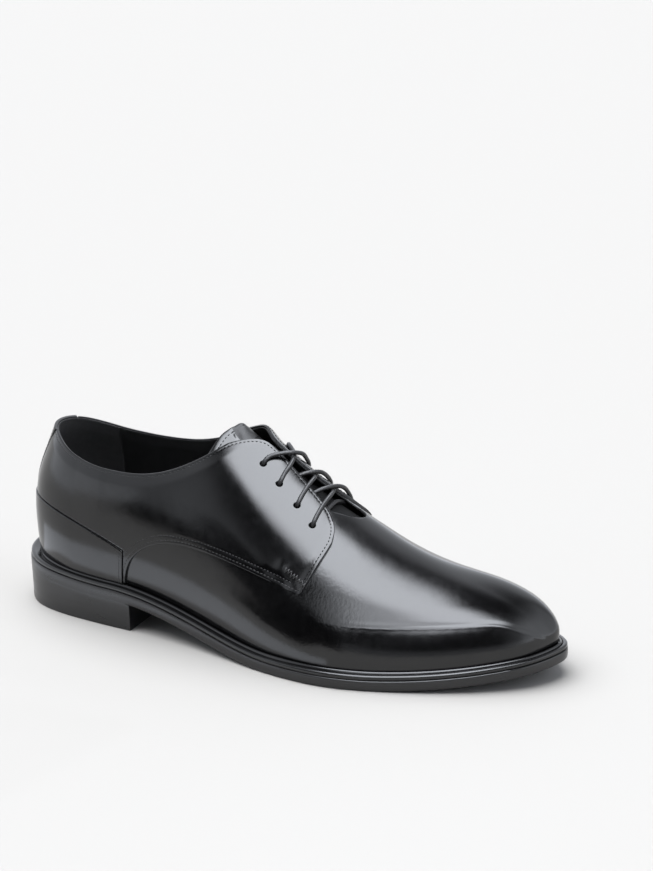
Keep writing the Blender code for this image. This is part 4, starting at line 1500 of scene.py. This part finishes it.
def sole_rim(inset, height):
    """Row of the outsole's edge; its lower corner stays square over the heel."""
    points = rim(inset, sole_bottom, height)
    square = rim(min(inset, 0.1), sole_bottom, height)
    over = height < 1.0 and inset < 2.0
    part = np.interp(points[:, 0], (HEEL_BREAST - 1.0, HEEL_BREAST + 1.5), (1.0, 0.0))[:, None]
    return points * (1 - part) + square * part if over else points


# Profile of the insole, height above the welt's seat
INSOLE_ROWS = (
    (INSOLE_INSET + 1.0, 0.0),
    (INSOLE_INSET, 0.0),
    (INSOLE_INSET, INSOLE_THICK - 0.6),
    (INSOLE_INSET + 0.3, INSOLE_THICK - 0.15),
    (INSOLE_INSET + 1.0, INSOLE_THICK),
    (INSOLE_INSET + 6.0, INSOLE_THICK - 0.5),
)


def make_sole():
    loops = [sole_rim(inset, height) for inset, height in EDGE_ROWS]
    outsole = mesh_object("outsole_edge", *skin(loops, False), (SOLE,))
    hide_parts("outsole")
    loops = [rim(inset, welt_seat, height, inset > WELT_LEDGE) for inset, height in WELT_ROWS]
    welt = mesh_object("welt_strip", *skin(loops, True), (WELT,))
    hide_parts("welt")
    loops = [rim(inset, welt_seat, height, True) for inset, height in INSOLE_ROWS]
    insole = mesh_object("insole_sock", *skin(loops, False), (LINING,))
    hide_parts("insole")


# Profile of the heel: distance in and height above the floor, then distance in and below the outsole
HEEL_TAPER = 0.3
HEEL_PROFILE = (
    (0.9, 0.0),
    (0.35, 0.12),
    (0.12, 0.45),
    (0.05, 1.5),
    (0.0, 6.0),
)
HEEL_SEAT = (
    (-0.3, 1.5),
    (-0.36, 0.3),
    (-0.34, 0.06),
    (0.0, 0.02),
)


def heel_loop(inset, height, count=120):
    row_x = HEEL_BREAST * (1 - np.cos(np.linspace(0.0, math.pi / 2, count)))
    lateral = outline_at(station_knots(-1, row_x), inset)
    medial = outline_at(station_knots(1, row_x), inset)[1:][::-1]
    points = np.vstack([lateral, medial])
    points[:, 0] = np.minimum(points[:, 0], HEEL_BREAST)
    return np.column_stack([points, height(points[:, 0])])


def make_heel():
    foot = HEEL_INSET + HEEL_TAPER
    loops = [heel_loop(foot + inset, lambda x, h=h: h + 0 * x) for inset, h in HEEL_PROFILE]
    for inset, below in HEEL_SEAT:
        loops.append(heel_loop(HEEL_INSET + inset, lambda x, d=below: sole_bottom(x) - d))
    made = mesh_object("heel_block", *skin(loops, False), (HEEL,))
    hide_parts("heel")


# Lace
UNDER = -2.85            # rise of the lace between lining and tongue
OVER = QUARTER_RISE + LACE_DIAMETER / 2 + 0.05
BAR_DROP = 0.15          # how far the bar between the lowest eyelets lies deeper
BAR_EASE = 2.6           # how far it bows forward
LACE_STEP = 0.35
LACE_SIDES = 14
BRAID_STRANDS = 4
BRAID_HEIGHT = 0.045     # of the lace's radius
BRAID_TURN = 1.3         # radians per step
BRAID_SHRINK = 0.04      # share of the radius that makes up for the braid's height


def half_gap(x):
    return float(np.interp(x, FACING[:, 0], FACING[:, 1]))


def strand(side, start, end, high, into):
    """Lace from inside one eyelet, out and over the throat, to the eyelet across."""
    x0, spread0 = EYELET_ROWS[start]
    x1, spread1 = EYELET_ROWS[end]
    gap0 = half_gap(x0)
    bend = -gap0 - 1.0 if side > 0 or into else -0.2 * gap0

    def place(across, rise):
        part = soft_step((across - bend) / (spread1 - bend))
        hand = side if across < 0 else -side
        return on_last(hand, x0 + (x1 - x0) * part, -side * across, rise)[0]

    marks = [(-spread0, UNDER), (-spread0 + 0.15, 0.4), (-spread0 + 1.2, OVER - 0.7), (-spread0 + 3.0, OVER),
             (-(spread0 + gap0) / 2, OVER + 0.25 * high), (-gap0 - 0.4, OVER + 0.9 * high)]
    middle1 = (spread1 + gap0) / 2
    if into:
        marks += [(0.0, OVER + high), (gap0 + 0.4, OVER + 0.55 * high), (middle1, OVER + 0.1 * high),
                  (spread1 - 3.0, OVER), (spread1 - 1.2, OVER - 0.7), (spread1 - 0.15, 0.4), (spread1, UNDER)]
    else:
        marks += [(-0.4 * gap0, OVER + high), (0.4 * gap0, 0.45 * OVER + 0.5 * high), (gap0 + 0.2, -1.6),
                  (gap0 + 2.2, UNDER), (middle1, UNDER - 0.1), (spread1 - 1.0, UNDER)]
    return [place(*mark) for mark in marks]


def lace_route():
    near = -1
    far = 1
    bar = []
    x, spread = EYELET_ROWS[3]
    for across in np.linspace(-spread, spread, 9)[1:-1]:
        ease = BAR_EASE * (1.0 - (across / spread) ** 2) ** 0.5
        bar.append(on_last(near if across < 0 else far, x + ease, across, UNDER - BAR_DROP)[0])
    points = strand(near, 1, 0, 0.2, True)[::-1]
    points += strand(far, 2, 1, 1.1, False)[::-1]
    points += strand(near, 3, 2, 0.0, False)[::-1]
    points += bar
    points += strand(far, 3, 2, 1.1, False)
    points += strand(near, 2, 1, 0.0, False)
    points += strand(far, 1, 0, 2.2, True)
    return np.array(points)


def make_lace():
    line = even(path(lace_route(), 4000), LACE_STEP)
    tangent = np.gradient(line, axis=0)
    tangent /= np.linalg.norm(tangent, axis=1)[:, None]
    across = np.cross(tangent[0], (0.0, 0.0, 1.0))
    around = np.linspace(0.0, 2 * math.pi, LACE_SIDES, endpoint=False)
    rings = []
    for k, (middle, ahead) in enumerate(zip(line, tangent)):
        across = across - (across @ ahead) * ahead
        across /= np.linalg.norm(across)
        up = np.cross(ahead, across)
        waves = [BRAID_STRANDS * around + turn * k for turn in (BRAID_TURN, -BRAID_TURN)]
        braid = BRAID_HEIGHT * np.cos(waves[0]) + BRAID_HEIGHT * np.cos(waves[1])
        radius = LACE_DIAMETER / 2 * (1 + braid - BRAID_SHRINK)
        turned = np.cos(around)[:, None] * across + np.sin(around)[:, None] * up
        rings.append(middle + radius[:, None] * turned)
    faces = tube_faces(len(rings), LACE_SIDES)
    made = mesh_object("lace", np.vstack(rings), faces, (WAXED,), sharp=None)
    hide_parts("lace_cross_1", "lace_cross_2", "lace_cross_3", "lace_bar")


# Stage
IMAGE = (653, 871)
CAMERA_AZIMUTH = 26.2
CAMERA_ELEVATION = 23.5
CAMERA_DISTANCE = 1.8
CAMERA_TARGET = (150.0, 0.0, 0.0)
TARGET_PIXEL = (291.0, 630.8)
PIXELS_PER_MM = 1.92
FLOOR_HALF = 40.0
FLOOR_COLOUR = (0.378, 0.375, 0.372, 1.0)


def make_camera():
    azimuth = math.radians(CAMERA_AZIMUTH)
    elevation = math.radians(CAMERA_ELEVATION)
    back = np.array([math.sin(azimuth) * math.cos(elevation), -math.cos(azimuth) * math.cos(elevation),
                     math.sin(elevation)])
    data = bpy.data.cameras.new("camera")
    data.sensor_fit = "VERTICAL"
    data.sensor_height = 36.0
    focal = PIXELS_PER_MM / MM * CAMERA_DISTANCE
    data.lens = focal / IMAGE[1] * data.sensor_height
    data.shift_x = (IMAGE[0] / 2 - TARGET_PIXEL[0]) / IMAGE[1]
    data.shift_y = (TARGET_PIXEL[1] - IMAGE[1] / 2) / IMAGE[1]
    data.clip_end = 50.0
    made = bpy.data.objects.new("camera", data)
    made.location = metres(CAMERA_TARGET) + CAMERA_DISTANCE * back
    made.rotation_euler = (math.pi / 2 - elevation, 0.0, azimuth)
    bpy.context.scene.collection.objects.link(made)
    bpy.context.scene.camera = made


def make_floor():
    made, _, shader = new_look("floor")
    shader.inputs["Base Color"].default_value = FLOOR_COLOUR
    shader.inputs["Roughness"].default_value = 0.8
    shader.inputs["Specular IOR Level"].default_value = 0.05
    half = FLOOR_HALF
    corners = [(-half, -half, 0), (half, -half, 0), (half, half, 0), (-half, half, 0)]
    mesh = bpy.data.meshes.new("floor")
    mesh.from_pydata(corners, [], [(0, 1, 2, 3)])
    mesh.materials.append(made)
    floor = bpy.data.objects.new("floor", mesh)
    bpy.context.scene.collection.objects.link(floor)


# Level of the studio's walls by direction, in degrees from the toe towards the medial side
WALL_STOPS = (
    (-180.0, 1.4),
    (-145.0, 1.25),
    (-130.0, 1.1),
    (-121.0, 0.95),
    (-114.0, 0.6),
    (-107.0, 0.12),
    (-98.0, 0.02),
    (-45.0, 0.02),
    (-32.0, 0.5),
    (-20.0, 1.4),
    (-5.0, 1.8),
    (10.0, 1.8),
    (32.0, 1.3),
    (50.0, 1.0),
    (68.0, 0.55),
    (85.0, 1.1),
    (105.0, 1.3),
    (140.0, 1.5),
    (180.0, 1.4),
)
WALL_TOP = (42.0, 68.0)         # degrees of elevation over which the walls fade out
GLOW_TOP = (4.0, 10.0)          # the same for the glow low down
GLOW_LEVEL = 0.45
CEILING = 0.03
SUN_LEVEL = 6.0
SUN_ANGLE = 70.0
SUN_TILT = (0.0, -18.0)         # degrees about X and Y
SUN_TINT = (1.0, 0.995, 0.985)

# Softbox over the shoe, in metres; its edges fade between two places and bend by a start, a most and a slope
BOX_HEIGHT = 0.27
BOX_LEVEL = 11.0
BOX_LOW = (-0.16, -1.35)
BOX_HIGH = (0.36, 0.20)
BOX_LEFT = (-0.08, -0.02)       # left edge, its bend near the middle and its spread further on
BOX_CORNER = (-0.12, 0.13, 0.6)
BOX_SPREAD = (-0.30, 0.5)
BOX_FAR = (-0.08, -0.01)        # far edge, its slant to the left and to the right
BOX_SLANT = (0.14, 2.1)
BOX_RIGHT = (0.24, 0.5)
BOX_NEAR = (-0.26, -0.13)       # where the level goes from the tail's to full
BOX_END = (-0.72, -0.5)         # near end, and its reach to the left
BOX_REACH = (0.14, 0.07, 5.0)
BOX_STOP = (0.26, 0.34)         # right end, and its bend further on
BOX_SIDE = (-0.28, 0.3, 0.35)

# Level of the softbox's tail, by x
BOX_TAIL = (
    (-0.12, 0.3),
    (-0.03, 1.1),
    (0.05, 1.9),
    (0.08, 2.6),
    (0.12, 4.4),
    (0.16, 6.8),
    (0.22, 7.4),
)

# Black card standing on the table, by place and height, a black sheet and a white card lying on it
FLAG_ROWS = (
    (-0.46, -0.60, 0.06),
    (-0.43, -0.60, 0.085),
    (-0.39, -0.60, 0.125),
    (-0.31, -0.60, 0.23),
    (-0.15, -0.60, 0.24),
    (0.06, -0.60, 0.20),
)
FLAG_FOOT = 0.004               # share of its height at which the card starts
SHEET_CORNERS = ((-0.105, -0.135), (-0.42, -0.595), (-0.10, -0.595), (-0.015, -0.13))
SHEET_HEIGHT = 0.0006
BOUNCE_ROWS = (
    (-0.19, 0.0),
    (-0.17, -0.04),
    (-0.11, -0.055),
    (0.0, -0.065),
    (0.04, -0.072),
)
BOUNCE_WIDTH = 0.055
BOUNCE_TAPER = 0.35             # share of its width at the front end
BOUNCE_HEIGHT = 0.0005
BOUNCE_LEVEL = 2.0
CARD_COLUMNS = 40
LIGHT_TINT = (0.90, 0.935, 1.0, 1.0)


def make_light():
    world = bpy.data.worlds.new("studio")
    world.use_nodes = True
    tree = world.node_tree
    where = add_node(tree, "ShaderNodeTexCoord")
    axes = add_node(tree, "ShaderNodeSeparateXYZ")
    tree.links.new(where.outputs["Generated"], axes.inputs[0])
    x, y, z = axes.outputs
    turn = calc(tree, "ARCTAN2", y, x)
    highest = max(level for _, level in WALL_STOPS)
    stops = [((degrees + 180.0) / 360.0, (level / highest,) * 3) for degrees, level in WALL_STOPS]
    walls = ramp(tree, calc(tree, "MULTIPLY_ADD", turn, 0.5 / math.pi, 0.5), stops)
    climb = calc(tree, "ARCSINE", z)
    wall_top, glow_top = ([math.radians(a) for a in ends] for ends in (WALL_TOP, GLOW_TOP))
    walls = calc(tree, "MULTIPLY", walls, fade(tree, climb, *wall_top, highest, 0.0))
    glow = fade(tree, climb, *glow_top, GLOW_LEVEL, 0.0)
    total = calc(tree, "ADD", calc(tree, "ADD", walls, glow), CEILING)
    background = tree.nodes["Background"]
    background.inputs["Color"].default_value = LIGHT_TINT
    tree.links.new(total, background.inputs["Strength"])
    bpy.context.scene.world = world
    bpy.context.scene.view_settings.view_transform = "Standard"
    sun = bpy.data.lights.new("sun", "SUN")
    sun.energy = SUN_LEVEL
    sun.angle = math.radians(SUN_ANGLE)
    sun.color = SUN_TINT
    made = bpy.data.objects.new("sun", sun)
    made.rotation_euler = [math.radians(a) for a in SUN_TILT] + [0.0]
    made.visible_glossy = False
    bpy.context.scene.collection.objects.link(made)


def card_look(name, level=0.0):
    """Black card that shines at a level."""
    made, tree, shader = new_look(name)
    shader.inputs["Base Color"].default_value = (0.0, 0.0, 0.0, 1.0)
    shader.inputs["Specular IOR Level"].default_value = 0.0
    shader.inputs["Emission Color"].default_value = LIGHT_TINT
    shader.inputs["Emission Strength"].default_value = level
    return made, tree, shader


def reflected_card(name, points, columns, look):
    """Studio card that only reflections see."""
    mesh = bpy.data.meshes.new(name)
    mesh.from_pydata(points, [], [(i, i + 1, i + columns + 1, i + columns) for i in range(columns - 1)])
    mesh.materials.append(look)
    card = bpy.data.objects.new(name, mesh)
    card.visible_camera = False
    card.visible_diffuse = False
    card.visible_shadow = False
    bpy.context.scene.collection.objects.link(card)


def make_softbox():
    """Lit card over the shoe, whose edges bend and fade."""
    softbox, tree, shader = card_look("softbox")
    where = add_node(tree, "ShaderNodeTexCoord")
    axes = add_node(tree, "ShaderNodeSeparateXYZ")
    tree.links.new(where.outputs["Object"], axes.inputs[0])
    x, y, _ = axes.outputs
    start, most, slope = BOX_CORNER
    left = calc(tree, "MULTIPLY_ADD", excess(tree, start, y, most), -slope, x)
    start, slope = BOX_SPREAD
    left = fade(tree, calc(tree, "MULTIPLY_ADD", excess(tree, start, y), slope, left), *BOX_LEFT)
    start, slope = BOX_SLANT
    far = calc(tree, "MULTIPLY_ADD", excess(tree, start, x), -slope, y)
    start, slope = BOX_RIGHT
    far = fade(tree, calc(tree, "MULTIPLY_ADD", excess(tree, x, start), slope, far), *BOX_FAR, 1.0, 0.0)
    start, most, slope = BOX_REACH
    end = fade(tree, calc(tree, "MULTIPLY_ADD", excess(tree, start, x, most), slope, y), *BOX_END)
    start, most, slope = BOX_SIDE
    stop = calc(tree, "MULTIPLY_ADD", excess(tree, start, y, most), slope, x)
    stop = fade(tree, stop, *BOX_STOP, 1.0, 0.0)
    tree.links.new(product(tree, left, far, end, stop), shader.inputs["Alpha"])
    low, high = BOX_TAIL[0][0], BOX_TAIL[-1][0]
    along = calc(tree, "DIVIDE", calc(tree, "SUBTRACT", x, low), high - low)
    stops = [((place - low) / (high - low), (level / BOX_LEVEL,) * 3) for place, level in BOX_TAIL]
    level = calc(tree, "MAXIMUM", ramp(tree, along, stops), fade(tree, y, *BOX_NEAR))
    tree.links.new(calc(tree, "MULTIPLY", level, BOX_LEVEL), shader.inputs["Emission Strength"])
    corners = [(a, b, BOX_HEIGHT) for b in (BOX_LOW[1], BOX_HIGH[1]) for a in (BOX_LOW[0], BOX_HIGH[0])]
    reflected_card("softbox", corners, 2, softbox)


def make_cards():
    """Black card and sheet that darken reflections, and a white card beside the heel."""
    black, _, _ = card_look("flag")
    line = path(np.array(FLAG_ROWS), CARD_COLUMNS)
    points = [(x, y, z * top) for z in (FLAG_FOOT, 1.0) for x, y, top in line]
    reflected_card("flag", points, CARD_COLUMNS, black)
    a, b, c, d = SHEET_CORNERS
    reflected_card("black_sheet", [(x, y, SHEET_HEIGHT) for x, y in (a, d, b, c)], 2, black)
    white, _, _ = card_look("bounce", BOUNCE_LEVEL)
    line = path(np.array(BOUNCE_ROWS), CARD_COLUMNS)
    run = np.gradient(line, axis=0)
    out = np.column_stack([run[:, 1], -run[:, 0]]) / np.linalg.norm(run, axis=1)[:, None]
    outer = line + BOUNCE_WIDTH * np.linspace(1.0, BOUNCE_TAPER, CARD_COLUMNS)[:, None] * out
    points = [(x, y, BOUNCE_HEIGHT) for x, y in np.vstack([line, outer])]
    reflected_card("bounce", points, CARD_COLUMNS, white)


make_camera()
make_lace()
make_upper()
make_quarter(-1, "quarter_right")
make_quarter(1, "quarter_left")
make_counter()
make_strip()
make_tongue()
make_stitching()
make_sole()
make_heel()
make_floor()
make_softbox()
make_cards()
make_light()
